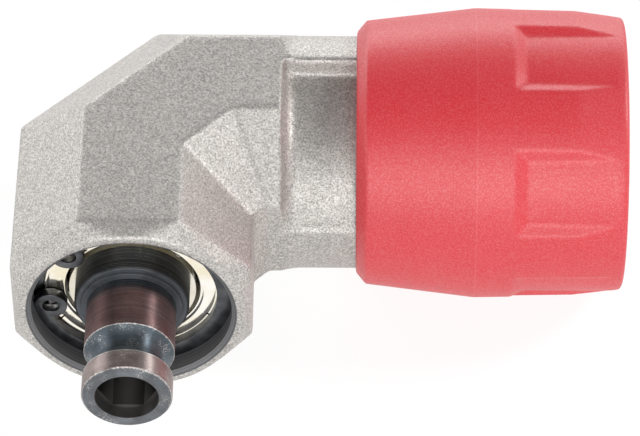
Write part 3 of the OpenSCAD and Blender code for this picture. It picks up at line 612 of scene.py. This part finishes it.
# The lathe leaves bright grey rings round the drive, or round the nose.
TURNED_STEEL = LatheFinish("turned_steel", "a6a8ab", "8c8e92", Turned.DRIVE, roughness=0.28)
NOSE_STEEL = LatheFinish("turned_nose_steel", "a6a8ab", "8c8e92", Turned.NOSE)
# Hardening leaves the teeth dark, with a patchy bloom.
GEAR_STEEL = SheetFinish("hardened_gear_steel", "6f7277", "4c4e53", roughness=0.3,
                         cloud_mm=3, depth_mm=0.008)
# The screws' oxide is a flat, even black.
BLACK_STEEL = SheetFinish("black_oxide_screw_steel", "2b2b2d", "3a3a3d", roughness=0.36,
                          cloud_mm=1.5)
# Rolled brass is smooth and yellow, with faint streaks of tarnish.
SHIM_BRASS = SheetFinish("rolled_brass", "c9a04e", "b08838", roughness=0.25)
# Sintered powder stays porous, so the bronze looks dull and mottled.
SINTERED_BRONZE = SheetFinish("sintered_bronze", "a5744a", "7c5433", roughness=0.5,
                              cloud_mm=1, depth_mm=0.02)
# Nickel plate is bright, a little warmer than steel.
NICKEL_PLATE = SheetFinish("nickel_plate", "c8c6c0", "b6b4ae", roughness=0.15)
# Unfilled nylon is milky and satin.
CAGE_NYLON = SheetFinish("moulded_cage_nylon", "e4dfcf", "d6d0bd", metallic=0, roughness=0.5,
                         cloud_mm=3, depth_mm=0.01)

NODES_OF_FINISH: dict[Finish, tuple[str, ...]] = {
    DIE_CAST: ("gear_housing",), RED_NYLON: ("twist_collar",),
    OXIDE_STEEL: ("output_spindle",), SHADED_RACE_STEEL: ("output_bearing_outer_race",),
    RACE_FACE: ("output_bearing_inner_race",), SHIELD_ZINC: ("output_bearing_shields",),
    BEARING_STEEL: ("output_bearing_balls", "front_bearing_balls", "rear_bearing_balls",
                    "front_bearing_outer_race", "rear_bearing_outer_race",
                    "front_bearing_inner_race", "rear_bearing_inner_race",
                    "lock_ball_1", "lock_ball_2", "lock_ball_3"),
    CAGE_NYLON: ("output_bearing_cage", "front_bearing_cage", "rear_bearing_cage"),
    SPRING_STEEL: ("output_circlip", "input_circlip", "input_shaft_ring",
                   "collar_retaining_ring", "collar_return_spring", "bit_retaining_ring"),
    TURNED_STEEL: ("input_shaft", "input_gear_pin", "outer_bearing_spacer",
                   "inner_bearing_spacer", "coupling_sleeve", "cam_ring",
                   "collar_thrust_washer"),
    NOSE_STEEL: ("output_gear_pin",), GEAR_STEEL: ("output_bevel_gear", "input_bevel_gear"),
    BLACK_STEEL: ("coupling_screws",), SHIM_BRASS: ("mesh_shim",),
    SINTERED_BRONZE: ("rear_bush",), NICKEL_PLATE: ("bit_magnet",),
}


def coat(piece: Object, finish: Finish) -> None:
    """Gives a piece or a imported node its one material, and leaves its mesh as it is."""
    piece.data.materials.clear()
    piece.data.materials.append(finish.material())


def make(name: str, points: list[Any], edges: list[Any], faces: list[Any]) -> Object:
    """Puts an object in the scene at the origin.

    Args:
        name: Its name, and its mesh's.
        points: Its points in metres.
        edges: Its edges that belong to no face.
        faces: Its faces.

    Returns:
        The new object.
    """
    mesh = bpy.data.meshes.new(name)
    mesh.from_pydata(points, edges, faces)
    made = bpy.data.objects.new(name, mesh)
    bpy.context.scene.collection.objects.link(made)
    return made


def merged_copy(node: Object, name: str) -> Object:
    """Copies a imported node's mesh as one closed shell, and leaves the node as it is.

    Args:
        node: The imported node's object.
        name: The copy's name.

    Returns:
        A new object with plain shading and no material.
    """
    build = bmesh.new()
    build.from_mesh(node.data)
    bmesh.ops.remove_doubles(build, verts=build.verts, dist=WELD_MM * MM)
    build.verts.index_update()
    piece = make(name, [v.co for v in build.verts], [],
                 [[v.index for v in f.verts] for f in build.faces])
    build.free()
    return piece


def bake(piece: Object) -> None:
    """Turns a piece's modifiers into its plain mesh.

    Args:
        piece: The piece.
    """
    ready = piece.evaluated_get(bpy.context.evaluated_depsgraph_get())
    mesh = bpy.data.meshes.new_from_object(ready)
    piece.modifiers.clear()
    piece.data = mesh


def carve(piece: Object, tool: Object, cut: Cut) -> None:
    """Combines a piece with a tool shape, which is then gone.

    Args:
        piece: The closed shell that stays.
        tool: The closed shell that works on it.
        cut: What the tool does.
    """
    step = piece.modifiers.new("cut", "BOOLEAN")
    step.operation = cut.value
    step.solver = "MANIFOLD"
    step.object = tool
    bake(piece)
    bpy.data.objects.remove(tool)


def shade(piece: Object, sharp_deg: float) -> None:
    """Shades a piece smoothly, but for edges that turn more than an angle."""
    piece.data.shade_smooth()
    piece.data.set_sharp_from_angle(angle=math.radians(sharp_deg))


def settle(piece: Object, finish: Finish, node: str) -> None:
    """Gives a piece its surface and lets it stand for a node, once it rides on its body.

    Args:
        piece: The piece, with its place in its mesh.
        finish: The surface that it gets.
        node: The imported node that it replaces.
    """
    coat(piece, finish)
    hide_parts(node)
    LOG.info("made %s with %d faces", piece.name, len(piece.data.polygons))


def join(piece: Object, other: Object) -> None:
    """Puts another shape's mesh into a piece's own, and takes the other away.

    Args:
        piece: The piece that stays.
        other: The shape that it takes in.
    """
    build = bmesh.new()
    build.from_mesh(piece.data)
    build.from_mesh(other.data)
    build.to_mesh(piece.data)
    build.free()
    bpy.data.objects.remove(other)


def close_shell(mesh: Mesh) -> None:
    """Merges a mesh's doubles and points its faces outward.

    Args:
        mesh: The mesh of a closed shape.
    """
    build = bmesh.new()
    build.from_mesh(mesh)
    bmesh.ops.remove_doubles(build, verts=build.verts, dist=WELD_MM * MM)
    bmesh.ops.dissolve_degenerate(build, edges=build.edges, dist=WELD_MM * MM)
    bmesh.ops.recalc_face_normals(build, faces=build.faces)
    build.to_mesh(mesh)
    build.free()


class Outline:
    """A closed outline for a turned form, in millimetres along its axis and out from it."""

    def __init__(self, *corners: tuple[float, float]) -> None:
        """Starts with sharp corners."""
        self.points = list(corners)

    def to(self, along: float, out: float) -> "Outline":
        """Adds a sharp corner."""
        self.points.append((along, out))
        return self

    def arc(self, centre: tuple[float, float], radius: float, start_deg: float,
            end_deg: float, steps: int = 6) -> "Outline":
        """Adds a round stretch.

        Args:
            centre: Its centre, along and out.
            radius: Its radius.
            start_deg: The angle where it starts, from the axis outward.
            end_deg: The angle where it ends.
            steps: Its number of straight steps.

        Returns:
            The outline.
        """
        for i in range(steps + 1):
            angle = math.radians(start_deg + (end_deg - start_deg) * i / steps)
            self.points.append((centre[0] + radius * math.cos(angle),
                                centre[1] + radius * math.sin(angle)))
        return self

    def round_to(self, corner: tuple[float, float], radius: float,
                 after: tuple[float, float], steps: int = 5) -> "Outline":
        """Adds a corner that is rounded between the last point and the one after it.

        Args:
            corner: The corner as it would be sharp.
            radius: The distance from the corner at which the rounding starts and ends.
            after: A point that the outline heads for after the corner.
            steps: Its number of straight steps.

        Returns:
            The outline.
        """
        last = Vector(self.points[-1])
        peak = Vector(corner)
        start = peak + (last - peak).normalized() * radius
        end = peak + (Vector(after) - peak).normalized() * radius
        for i in range(steps + 1):
            share = i / steps
            point = start.lerp(peak, share).lerp(peak.lerp(end, share), share)
            self.points.append((point.x, point.y))
        return self


@dataclass
class TurnedForm:
    """A closed solid that an outline makes when it is turned about an axis."""

    name: str
    outline: Outline
    turned: Turned
    finish: Finish
    steps: int = 192

    def build(self) -> Object:
        """Turns the outline with a tree of nodes and keeps the plain mesh.

        Returns:
            The solid, with its faces outward.
        """
        points = self.outline.points
        count = len(points)
        piece = make(self.name, [(a * MM, r * MM, 0) for a, r in points],
                     [(i, (i + 1) % count) for i in range(count)], [])
        tree = self.tree()
        lathe = piece.modifiers.new("lathe", "NODES")
        lathe.node_group = tree
        inputs = {item.name: item.identifier for item in tree.interface.items_tree
                  if item.item_type == "SOCKET" and item.in_out == "INPUT"}
        lathe[inputs["Steps"]] = self.steps
        lathe[inputs["Material"]] = self.finish.material()
        if self.turned is Turned.NOSE:
            lathe[inputs["Turn"]] = (0.0, 0.0, -math.pi / 2)
            lathe[inputs["Place"]] = (CROSSING_X * MM, 0.0, 0.0)
        bake(piece)
        close_shell(piece.data)
        return piece

    @staticmethod
    def tree() -> NodeTree:
        """Builds the tree that turns an outline about the X axis, once.

        Returns:
            The tree, with the steps, a turn, a place and a material as its inputs.
        """
        name = "turned_form"
        found = bpy.data.node_groups.get(name)
        if found:
            return found
        tree = bpy.data.node_groups.new(name, "GeometryNodeTree")
        for label, kind in (("Geometry", "Geometry"), ("Steps", "Int"), ("Turn", "Vector"),
                            ("Place", "Vector"), ("Material", "Material")):
            tree.interface.new_socket(label, in_out="INPUT", socket_type="NodeSocket" + kind)
        tree.interface.new_socket("Geometry", in_out="OUTPUT", socket_type="NodeSocketGeometry")
        given = add(tree, "NodeGroupInput")
        outline = given.outputs["Geometry"]
        size = add(tree, "GeometryNodeAttributeDomainSize", {0: outline})
        columns, rows = (add(tree, "FunctionNodeIntegerMath", {0: count, 1: 1},
                             operation="ADD").outputs[0]
                         for count in (given.outputs["Steps"], size.outputs["Point Count"]))
        sheet = add(tree, "GeometryNodeMeshGrid", {"Vertices X": columns, "Vertices Y": rows})
        index = add(tree, "GeometryNodeInputIndex").outputs[0]
        ring = add(tree, "FunctionNodeIntegerMath", {0: index, 1: rows},
                   operation="DIVIDE_FLOOR").outputs[0]
        row = add(tree, "FunctionNodeIntegerMath", {0: index, 1: rows},
                  operation="MODULO").outputs[0]
        point = add(tree, "FunctionNodeIntegerMath", {0: row, 1: size.outputs["Point Count"]},
                    operation="MODULO").outputs[0]
        place = add(tree, "GeometryNodeSampleIndex",
                    {"Geometry": outline, "Index": point,
                     "Value": add(tree, "GeometryNodeInputPosition").outputs[0]},
                    data_type="FLOAT_VECTOR")
        share = add(tree, "ShaderNodeMath", {0: ring, 1: given.outputs["Steps"]},
                    operation="DIVIDE").outputs[0]
        angle = add(tree, "ShaderNodeMath", {0: share, 1: 2 * math.pi},
                    operation="MULTIPLY").outputs[0]
        spun = add(tree, "ShaderNodeVectorRotate",
                   {"Vector": place.outputs[0], "Axis": (1, 0, 0), "Angle": angle},
                   rotation_type="AXIS_ANGLE")
        skin = add(tree, "GeometryNodeSetPosition",
                   {"Geometry": sheet.outputs["Mesh"], "Position": spun.outputs[0]})
        closed = add(tree, "GeometryNodeMergeByDistance",
                     {"Geometry": skin.outputs[0], "Distance": WELD_MM * MM})
        moved = add(tree, "GeometryNodeTransform",
                    {"Geometry": closed.outputs[0], "Translation": given.outputs["Place"],
                     "Rotation": given.outputs["Turn"]})
        real = add(tree, "GeometryNodeRealizeInstances", {0: moved.outputs[0]})
        dressed = add(tree, "GeometryNodeSetMaterial",
                      {"Geometry": real.outputs[0], "Material": given.outputs["Material"]})
        add(tree, "NodeGroupOutput", {0: dressed.outputs[0]})
        return tree


@dataclass
class SoftenedShell:
    """A casting or moulding whose outer edges have the radii that its mould gives.

    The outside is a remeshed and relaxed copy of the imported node, with its bores plugged.
    The bores are then cut again in the node's own shape. The plugs stand out of their open
    ends by spare, so that the cut goes right through.
    """

    node: str
    body: str
    slot: str
    finish: Finish
    voxel_mm: float
    passes: int
    relaxed: float = 0.5
    spare: float = 1
    sharp_deg: float = 38

    def plugs(self, spare: float) -> list[TurnedForm]:
        """Gives the solids that fill the bores.

        Args:
            spare: How far they stand out of the open ends.

        Returns:
            The solids, in the order in which they are joined.
        """
        raise NotImplementedError

    def fills(self) -> list[Object]:
        """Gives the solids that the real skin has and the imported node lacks."""
        return []

    def build(self, nodes: dict[str, Object]) -> None:
        """Makes the piece and lets it stand for its node.

        Args:
            nodes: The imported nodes.
        """
        shell = merged_copy(nodes[self.node], self.node + "_softened")
        skin = merged_copy(nodes[self.node], self.node + "_skin")
        for plug in self.plugs(0):
            join(skin, plug.build())
        for fill in self.fills():
            join(skin, fill)
        remesh = skin.modifiers.new("skin", "REMESH")
        remesh.mode = "VOXEL"
        remesh.voxel_size = self.voxel_mm * MM
        relax = skin.modifiers.new("relax", "SMOOTH")
        relax.factor = self.relaxed
        relax.iterations = self.passes
        bake(skin)
        bores, *others = (plug.build() for plug in self.plugs(self.spare))
        for other in others:
            carve(bores, other, Cut.ADDED)
        carve(bores, shell, Cut.AWAY)
        carve(skin, bores, Cut.AWAY)
        shade(skin, self.sharp_deg)
        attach(skin, self.body)
        settle(skin, self.finish, self.node)


def polar(radius: float, turn: float) -> Vector:
    """Gives a point across the drive as its Y and Z, turned from +Z towards -Y."""
    return Vector((-radius * math.sin(turn), radius * math.cos(turn)))


@dataclass
class TrackRamp:
    """The rise of a track's floor, from its round bed nearly to the neck's skin.

    Across the drive, the floor is one arc that leaves the bed at start_deg and meets lip_r
    at end_deg. Along the drive, a fillet lifts it at the track's end wall, and it runs on
    to just short of the collar's key.
    """

    start_deg: float = 10
    end_deg: float = 85.75
    bed_r: float = 11.7
    lip_r: float = 14.05
    skin_r: float = 14.28
    root_r: float = 10.9
    wall_start: float = 17
    wall_at: float = 17.8
    end_at: float = 27.25
    fillet: float = 1.8
    steps: int = 24
    fillet_steps: int = 8

    def section(self, rise: float) -> list[Vector]:
        """Draws the ramp across the drive.

        Args:
            rise: How far the fillet lifts the floor here.

        Returns:
            The outline, floor first and root last.
        """
        start, end = math.radians(self.start_deg), math.radians(self.end_deg)
        lean = self.lip_r * math.cos(end - start)
        floor_r = ((self.lip_r ** 2 + self.bed_r ** 2 - 2 * self.bed_r * lean)
                   / (2 * (self.bed_r - lean)))
        centre = polar(self.bed_r - floor_r, start)
        lip = polar(self.lip_r, end) - centre
        floor_end = math.atan2(-lip.x, lip.y)
        shares = [i / self.steps for i in range(self.steps + 1)]
        floor = [centre + polar(floor_r + rise, start + (floor_end - start) * share)
                 for share in shares]
        root = [polar(self.root_r, start + (end - start) * share) for share in shares]
        return [point * min(1, self.skin_r / point.length) for point in floor] + root[::-1]

    def build(self, side: int) -> Object:
        """Lofts the ramp along the neck.

        Args:
            side: 1 for the track that faces the front and -1 for the one across the neck.

        Returns:
            A closed solid.
        """
        rings = [(self.wall_start, self.fillet)]
        for i in range(self.fillet_steps + 1):
            left = self.fillet * (1 - i / self.fillet_steps)
            rings.append((self.wall_at + self.fillet - left,
                          self.fillet - math.sqrt(self.fillet ** 2 - left ** 2)))
        rings.append((self.end_at, 0))
        points = [Vector((CROSSING_X + along, side * point.x, side * point.y)) * MM
                  for along, rise in rings for point in self.section(rise)]
        count = len(points) // len(rings)
        faces = [tuple(range(count)), tuple(range(len(points) - count, len(points)))]
        for ring in range(0, len(points) - count, count):
            for i in range(count):
                after = (i + 1) % count
                faces.append((ring + i, ring + after, ring + count + after, ring + count + i))
        piece = make("track_ramp", points, [], faces)
        close_shell(piece.data)
        return piece


@dataclass
class CastHousing(SoftenedShell):
    """The die-cast elbow, with the neck that the collar turns on."""

    node: str = "gear_housing"
    body: str = "housing"
    slot: str = "die_cast"
    finish: Finish = DIE_CAST
    voxel_mm: float = 0.33
    passes: int = 4
    mouth_at: float = 26.5
    mouth_plug_r: float = 12.9
    seat_start: float = 15.6
    gear_room_r: float = 9.6
    spigot_end: float = 38.2
    drive_plug_r: float = 10.4

    def plugs(self, spare: float) -> list[TurnedForm]:
        """Gives the solids that fill the head and the neck.

        Args:
            spare: How far they stand out of the open ends.

        Returns:
            The head's solid and the neck's.
        """
        mouth, end = self.mouth_at + spare, CROSSING_X + self.spigot_end + spare
        head = Outline((0, 0), (0, self.gear_room_r), (self.seat_start, self.gear_room_r),
                       (self.seat_start, self.mouth_plug_r), (mouth, self.mouth_plug_r),
                       (mouth, 0))
        neck = Outline((CROSSING_X, 0), (CROSSING_X, self.drive_plug_r),
                       (end, self.drive_plug_r), (end, 0))
        return [TurnedForm("head_plug", head, Turned.NOSE, self.finish),
                TurnedForm("neck_plug", neck, Turned.DRIVE, self.finish)]

    def fills(self) -> list[Object]:
        """Gives the ramps that bring the tracks' floors up at their lower ends."""
        return [TrackRamp().build(side) for side in (1, -1)]


@dataclass
class GripCollar(SoftenedShell):
    """The red twist collar, with its finger pockets."""

    node: str = "twist_collar"
    body: str = "collar"
    slot: str = "red_plastic"
    finish: Finish = RED_NYLON
    voxel_mm: float = 0.26
    passes: int = 3
    front_at: float = 26.7
    lip_r: float = 14.6
    spring_start: float = 31
    spring_r: float = 15.7
    cam_start: float = 43.5
    keyway_r: float = 16.2
    rear_at: float = 59.4

    def plugs(self, spare: float) -> list[TurnedForm]:
        """Gives the solid that fills the collar.

        Args:
            spare: How far it stands out of the open ends.

        Returns:
            The one solid.
        """
        start, spring, cam, end = (CROSSING_X + along for along in (
            self.front_at - spare, self.spring_start, self.cam_start, self.rear_at + spare))
        bore = Outline((start, 0), (start, self.lip_r), (spring, self.lip_r),
                       (spring, self.spring_r), (cam, self.spring_r), (cam, self.keyway_r),
                       (end, self.keyway_r), (end, 0))
        return [TurnedForm("collar_plug", bore, Turned.DRIVE, self.finish)]


@dataclass
class OutputSpindle:
    """The turned output spindle. Its nose has fine, broken edges and a rounded groove."""

    shoulder_start: float = 22.5
    shoulder_at: float = 25.3
    step_at: float = 25.65
    groove_at: float = 32.6
    groove_end: float = 36.65
    tip_at: float = 39.5
    shoulder_r: float = 6.9
    step_r: float = 6.15
    nose_r: float = 5.4
    groove_depth: float = 1.05
    edge: float = 0.12
    rounding: float = 0.24
    groove_corner_deg: float = 1
    groove_steps: int = 24
    inset: float = 0.02
    tail_start: float = -20
    tail_r: float = 9
    steps: int = 256
    sharp_deg: float = 30

    def outline(self) -> Outline:
        """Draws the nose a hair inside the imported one, and the hidden part well outside.

        Returns:
            The closed outline.
        """
        shoulder, step, nose = (r - self.inset for r in (self.shoulder_r, self.step_r,
                                                         self.nose_r))
        tip = self.tip_at - self.inset
        half = (self.groove_end - self.groove_at) / 2
        groove_r = (half ** 2 + self.groove_depth ** 2) / (2 * self.groove_depth)
        centre = (self.groove_at + half, nose - self.groove_depth + groove_r)
        sweep = math.degrees(math.asin(half / groove_r)) - self.groove_corner_deg
        line = Outline((self.tail_start, 0), (self.tail_start, self.tail_r),
                       (self.shoulder_start, self.tail_r), (self.shoulder_start, shoulder))
        line.round_to((self.shoulder_at, shoulder), self.rounding, (self.shoulder_at, step))
        line.to(self.shoulder_at, step + self.edge)
        line.to(self.shoulder_at + self.edge, step)
        line.round_to((self.step_at, step), self.edge, (self.step_at, nose))
        line.to(self.step_at, nose).to(self.groove_at, nose)
        line.arc(centre, groove_r, 270 - sweep, 270 + sweep, self.groove_steps)
        line.to(self.groove_end, nose)
        line.round_to((tip, nose), self.rounding, (tip, 0))
        return line.to(tip, 0)

    def build(self, nodes: dict[str, Object]) -> None:
        """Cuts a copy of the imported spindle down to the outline.

        Args:
            nodes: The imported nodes.
        """
        piece = TurnedForm("output_spindle_turned", self.outline(), Turned.NOSE, OXIDE_STEEL,
                           self.steps).build()
        carve(piece, merged_copy(nodes["output_spindle"], "spindle_copy"), Cut.MET)
        shade(piece, self.sharp_deg)
        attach(piece, "output")
        settle(piece, OXIDE_STEEL, "output_spindle")


@dataclass
class BearingShields:
    """The two pressed shields of the output bearing, with rolled rims.

    Each roll gives points as a share of the shield's depth, and a distance in from the rim
    or out from the bore.
    """

    front_at: float = 22.5
    rear_at: float = 16.5
    rim_r: float = 10.68
    bore_r: float = 8.15
    depth: float = 0.3
    rim_roll: tuple[tuple[float, float], ...] = ((1, 0), (0.3, 0), (0.05, 0.12), (0.02, 0.3),
                                                 (0.3, 0.5), (0.5, 0.62), (0.46, 0.75))
    bore_roll: tuple[tuple[float, float], ...] = ((0.42, 0.75), (0.5, 0.6), (0.42, 0.45),
                                                  (0.3, 0.3), (0.05, 0.1), (0.2, 0), (1, 0))
    slot_turns: tuple[float, ...] = (-28, -148, 92)
    slot_start_r: float = 9.85
    slot_end_r: float = 10.9
    slot_w: float = 0.24
    slot_depth: float = 0.2
    slot_tool_depth: float = 0.6
    steps: int = 256
    sharp_deg: float = 50

    def shield(self, name: str, face: float, inward: int) -> Object:
        """Presses one shield.

        Args:
            name: The piece's name.
            face: Where its face lies along the spindle.
            inward: 1 or -1, the way into the bearing.

        Returns:
            A closed ring.
        """
        points = [(share, self.rim_r - inset) for share, inset in self.rim_roll]
        points += [(share, self.bore_r + out) for share, out in self.bore_roll]
        line = Outline(*((face + inward * self.depth * share, radius)
                         for share, radius in points))
        return TurnedForm(name, line, Turned.NOSE, SHIELD_ZINC, self.steps).build()

    def build(self, nodes: dict[str, Object]) -> None:
        """Makes both shields as one piece, because one node holds them.

        Args:
            nodes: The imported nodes.
        """
        piece = self.shield("output_shields_pressed", self.front_at, -1)
        for turn in self.slot_turns:
            carve(piece, self.slot_tool(turn), Cut.AWAY)
        join(piece, self.shield("rear_shield", self.rear_at, 1))
        shade(piece, self.sharp_deg)
        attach(piece, "housing")
        settle(piece, SHIELD_ZINC, "output_bearing_shields")

    def slot_tool(self, turn: float) -> Object:
        """Makes the cutter for one of the slots in the rolled rim.

        Args:
            turn: The slot's place round the spindle, in degrees from +X towards +Z.

        Returns:
            A closed block.
        """
        start = -self.front_at - self.slot_depth
        corners = [(radius, y, z) for radius in (self.slot_start_r, self.slot_end_r)
                   for y in (start, start + self.slot_tool_depth)
                   for z in (-self.slot_w / 2, self.slot_w / 2)]
        tool = make("rim_slot", [Vector(c) * MM for c in corners], [],
                    [(0, 1, 3, 2), (4, 6, 7, 5), (0, 4, 5, 1), (2, 3, 7, 6), (0, 2, 6, 4),
                     (1, 5, 7, 3)])
        tool.data.transform(Matrix.Translation((CROSSING_X * MM, 0, 0))
                            @ Matrix.Rotation(-math.radians(turn), 4, "Y"))
        close_shell(tool.data)
        return tool


@dataclass
class ReturnSpring:
    """The collar's torsion spring, which winds up as the collar turns."""

    first_coil: float = 32.65
    last_coil: float = 42.65
    sharp_deg: float = 70

    def build(self, nodes: dict[str, Object]) -> None:
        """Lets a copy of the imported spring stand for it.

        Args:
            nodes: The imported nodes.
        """
        piece = merged_copy(nodes["collar_return_spring"], "return_spring_wound")
        shade(piece, self.sharp_deg)
        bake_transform(piece)
        settle(piece, SPRING_STEEL, "collar_return_spring")


@dataclass
class StampedCirclip:
    """A circlip as the press leaves it and tumbling finishes it, with broken edges."""

    node: str
    slot: str
    edge: float = 0.08
    edge_steps: int = 3
    corner_deg: float = 40
    flat_deg: float = 1

    def build(self, nodes: dict[str, Object]) -> None:
        """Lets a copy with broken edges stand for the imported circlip.

        Args:
            nodes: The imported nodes.
        """
        piece = merged_copy(nodes[self.node], self.node + "_stamped")
        build = bmesh.new()
        build.from_mesh(piece.data)
        bmesh.ops.dissolve_limit(build, angle_limit=math.radians(self.flat_deg),
                                 verts=build.verts, edges=build.edges)
        build.to_mesh(piece.data)
        build.free()
        bevel = piece.modifiers.new("broken_edges", "BEVEL")
        bevel.width = self.edge * MM
        bevel.segments = self.edge_steps
        bevel.limit_method = "ANGLE"
        bevel.angle_limit = math.radians(self.corner_deg)
        bake(piece)
        shade(piece, self.corner_deg)
        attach(piece, nodes[self.node]["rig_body"])
        settle(piece, SPRING_STEEL, self.node)


@dataclass(frozen=True)
class Softbox:
    """A square-cornered lamp: the way in which it stands, its sides in metres, its watts."""

    name: str
    way: tuple[float, float, float]
    sides: tuple[float, float]
    power: float

    def build(self, middle: Vector, distance_m: float) -> None:
        """Hangs the lamp so that it faces the head and shows only as light.

        Args:
            middle: The point that it faces, in metres.
            distance_m: How far from there it hangs.
        """
        data = bpy.data.lights.new(self.name, "AREA")
        data.shape = "RECTANGLE"
        data.size, data.size_y = self.sides
        data.energy = self.power
        lamp = bpy.data.objects.new(self.name, data)
        lamp.visible_camera = False
        away = Vector(self.way).normalized()
        lamp.matrix_world = Matrix.LocRotScale(middle + away * distance_m,
                                               (-away).to_track_quat("-Z", "Y"), None)
        bpy.context.scene.collection.objects.link(lamp)


@dataclass
class Studio:
    """Pale floor, soft lamps and the camera of the photograph."""

    lamps: tuple[Softbox, ...] = (
        Softbox("front_softbox", (0.0, -0.78, 0.62), (0.9, 0.4), 1.55),
        Softbox("low_front_softbox", (0.0, -0.95, 0.3), (0.6, 0.3), 1.5),
        Softbox("right_spot", (0.76, 0.1, 0.62), (0.13, 0.13), 2.1),
        Softbox("left_softbox", (-0.93, -0.3, 0.3), (0.4, 0.4), 0.8),
        Softbox("back_softbox", (0.0, 0.95, 0.3), (0.9, 0.3), 2.3),
        Softbox("back_left_softbox", (-0.7, 0.66, 0.25), (0.35, 0.35), 0.9))
    lamp_distance_m: float = 0.75
    floor_z: float = -17.85
    floor_side: float = 1600
    floor_colour: str = "f7f7f6"
    floor_share: float = 0.8
    floor_glow: float = 1.1
    sweep: Span = Span(0.1, 0.85, 1, 0.2)
    fill_by_seen: Span = Span(0, 1, 0.6, 1)
    focal_px: float = 4200
    image_w_px: float = 640
    distance: float = 518.71
    elevation_deg: float = 47.98
    azimuth_deg: float = -0.83
    roll_deg: float = 0.9
    crossing_u_px: float = -179.77
    crossing_v_px: float = 67.18
    sensor: float = 36
    clip_m: tuple[float, float] = (0.01, 10)

    def build(self) -> None:
        """Makes the floor, the world, the lamps and the camera."""
        self.floor()
        self.world()
        for lamp in self.lamps:
            lamp.build(Vector((CROSSING_X / 2 * MM, 0, 0)), self.lamp_distance_m)
        self.camera()

    def seen(self, tree: NodeTree) -> NodeSocket:
        """Gives 1 on camera, glossy and transmission rays, which show the white backdrop.

        Args:
            tree: The floor's tree, or the world's.

        Returns:
            1 or 0.
        """
        rays = add(tree, "ShaderNodeLightPath")
        mirrored = add(tree, "ShaderNodeMath", {0: rays.outputs["Is Glossy Ray"],
                                                1: rays.outputs["Is Transmission Ray"]},
                       operation="MAXIMUM")
        return add(tree, "ShaderNodeMath", {0: rays.outputs["Is Camera Ray"],
                                            1: mirrored.outputs[0]},
                   operation="MAXIMUM").outputs[0]

    def floor(self) -> None:
        """A pale floor that shows nearly white and still takes a soft shadow."""
        half = self.floor_side / 2 * MM
        level = self.floor_z * MM
        floor = make("floor", [(-half, -half, level), (half, -half, level),
                               (half, half, level), (-half, half, level)], [],
                     [(0, 1, 2, 3)])
        made = bpy.data.materials.new("pale_paper_floor")
        made.use_nodes = True
        tree = made.node_tree
        tree.nodes.clear()
        paper = add(tree, "ShaderNodeBsdfDiffuse", {"Color": linear(self.floor_colour)})
        glow = add(tree, "ShaderNodeEmission", {"Color": WHITE, "Strength": self.floor_glow})
        share = add(tree, "ShaderNodeMath", {0: self.seen(tree), 1: self.floor_share},
                    operation="MULTIPLY")
        mixed = add(tree, "ShaderNodeMixShader", {0: share.outputs[0], 1: paper.outputs[0],
                                                  2: glow.outputs[0]})
        add(tree, "ShaderNodeOutputMaterial", {"Surface": mixed.outputs[0]})
        floor.data.materials.append(made)

    def world(self) -> None:
        """A white sweep all round, under a darker ceiling."""
        world = bpy.data.worlds.new("studio")
        bpy.context.scene.world = world
        world.use_nodes = True
        tree = world.node_tree
        tree.nodes.clear()
        place = add(tree, "ShaderNodeTexCoord").outputs["Generated"]
        height = add(tree, "ShaderNodeSeparateXYZ", {0: place}).outputs["Z"]
        sweep = add(tree, "ShaderNodeMapRange", self.sweep.inputs(height),
                    interpolation_type="SMOOTHSTEP")
        level = add(tree, "ShaderNodeMapRange", self.fill_by_seen.inputs(self.seen(tree)))
        strength = add(tree, "ShaderNodeMath", {0: sweep.outputs[0], 1: level.outputs[0]},
                       operation="MULTIPLY")
        light = add(tree, "ShaderNodeBackground", {"Color": WHITE,
                                                   "Strength": strength.outputs[0]})
        add(tree, "ShaderNodeOutputWorld", {"Surface": light.outputs[0]})

    def camera(self) -> None:
        """Places the camera so that the crossing of the axes falls on its pixel."""
        pitch, turn, roll = (math.radians(a) for a in (self.elevation_deg, self.azimuth_deg,
                                                       self.roll_deg))
        forward = Vector((math.sin(turn) * math.sin(pitch), math.cos(pitch),
                          -math.cos(turn) * math.sin(pitch)))
        level = forward.cross(Vector((0, 1, 0))).normalized()
        upward = level.cross(forward)
        right = math.cos(roll) * level + math.sin(roll) * upward
        up = math.cos(roll) * upward - math.sin(roll) * level
        scale = self.distance / self.focal_px
        crossing = Vector((CROSSING_X, 0, 0))
        place = (crossing - self.distance * forward - self.crossing_u_px * scale * right
                 - self.crossing_v_px * scale * up)
        data = bpy.data.cameras.new("camera")
        data.sensor_width = self.sensor
        data.lens = self.focal_px * self.sensor / self.image_w_px
        data.clip_start, data.clip_end = self.clip_m
        camera = bpy.data.objects.new("camera", data)
        turned = Matrix((right, up, -forward)).transposed()
        camera.matrix_world = Matrix.LocRotScale(place * MM, turned.to_quaternion(), None)
        bpy.context.scene.collection.objects.link(camera)
        bpy.context.scene.camera = camera


def main() -> None:
    """Builds the pieces in order and closes the scene."""
    logging.basicConfig(level=logging.INFO, format="%(name)s: %(message)s")
    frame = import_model()
    bpy.context.scene.view_settings.view_transform = "Standard"
    nodes = frame["nodes"]
    slots = {part["node"]: part["material_slot"] for part in frame["record"]["subparts"]}
    for finish, names in NODES_OF_FINISH.items():
        for name in names:
            coat(nodes[name], finish)
            LOG.info("coated %s with %s", name, finish.name)
    for piece in (CastHousing(), GripCollar(), OutputSpindle(), BearingShields(),
                  ReturnSpring(), StampedCirclip("output_circlip", slots["output_circlip"]),
                  StampedCirclip("input_circlip", slots["input_circlip"])):
        piece.build(nodes)
    Studio().build()


if __name__ == "__main__":
    main()
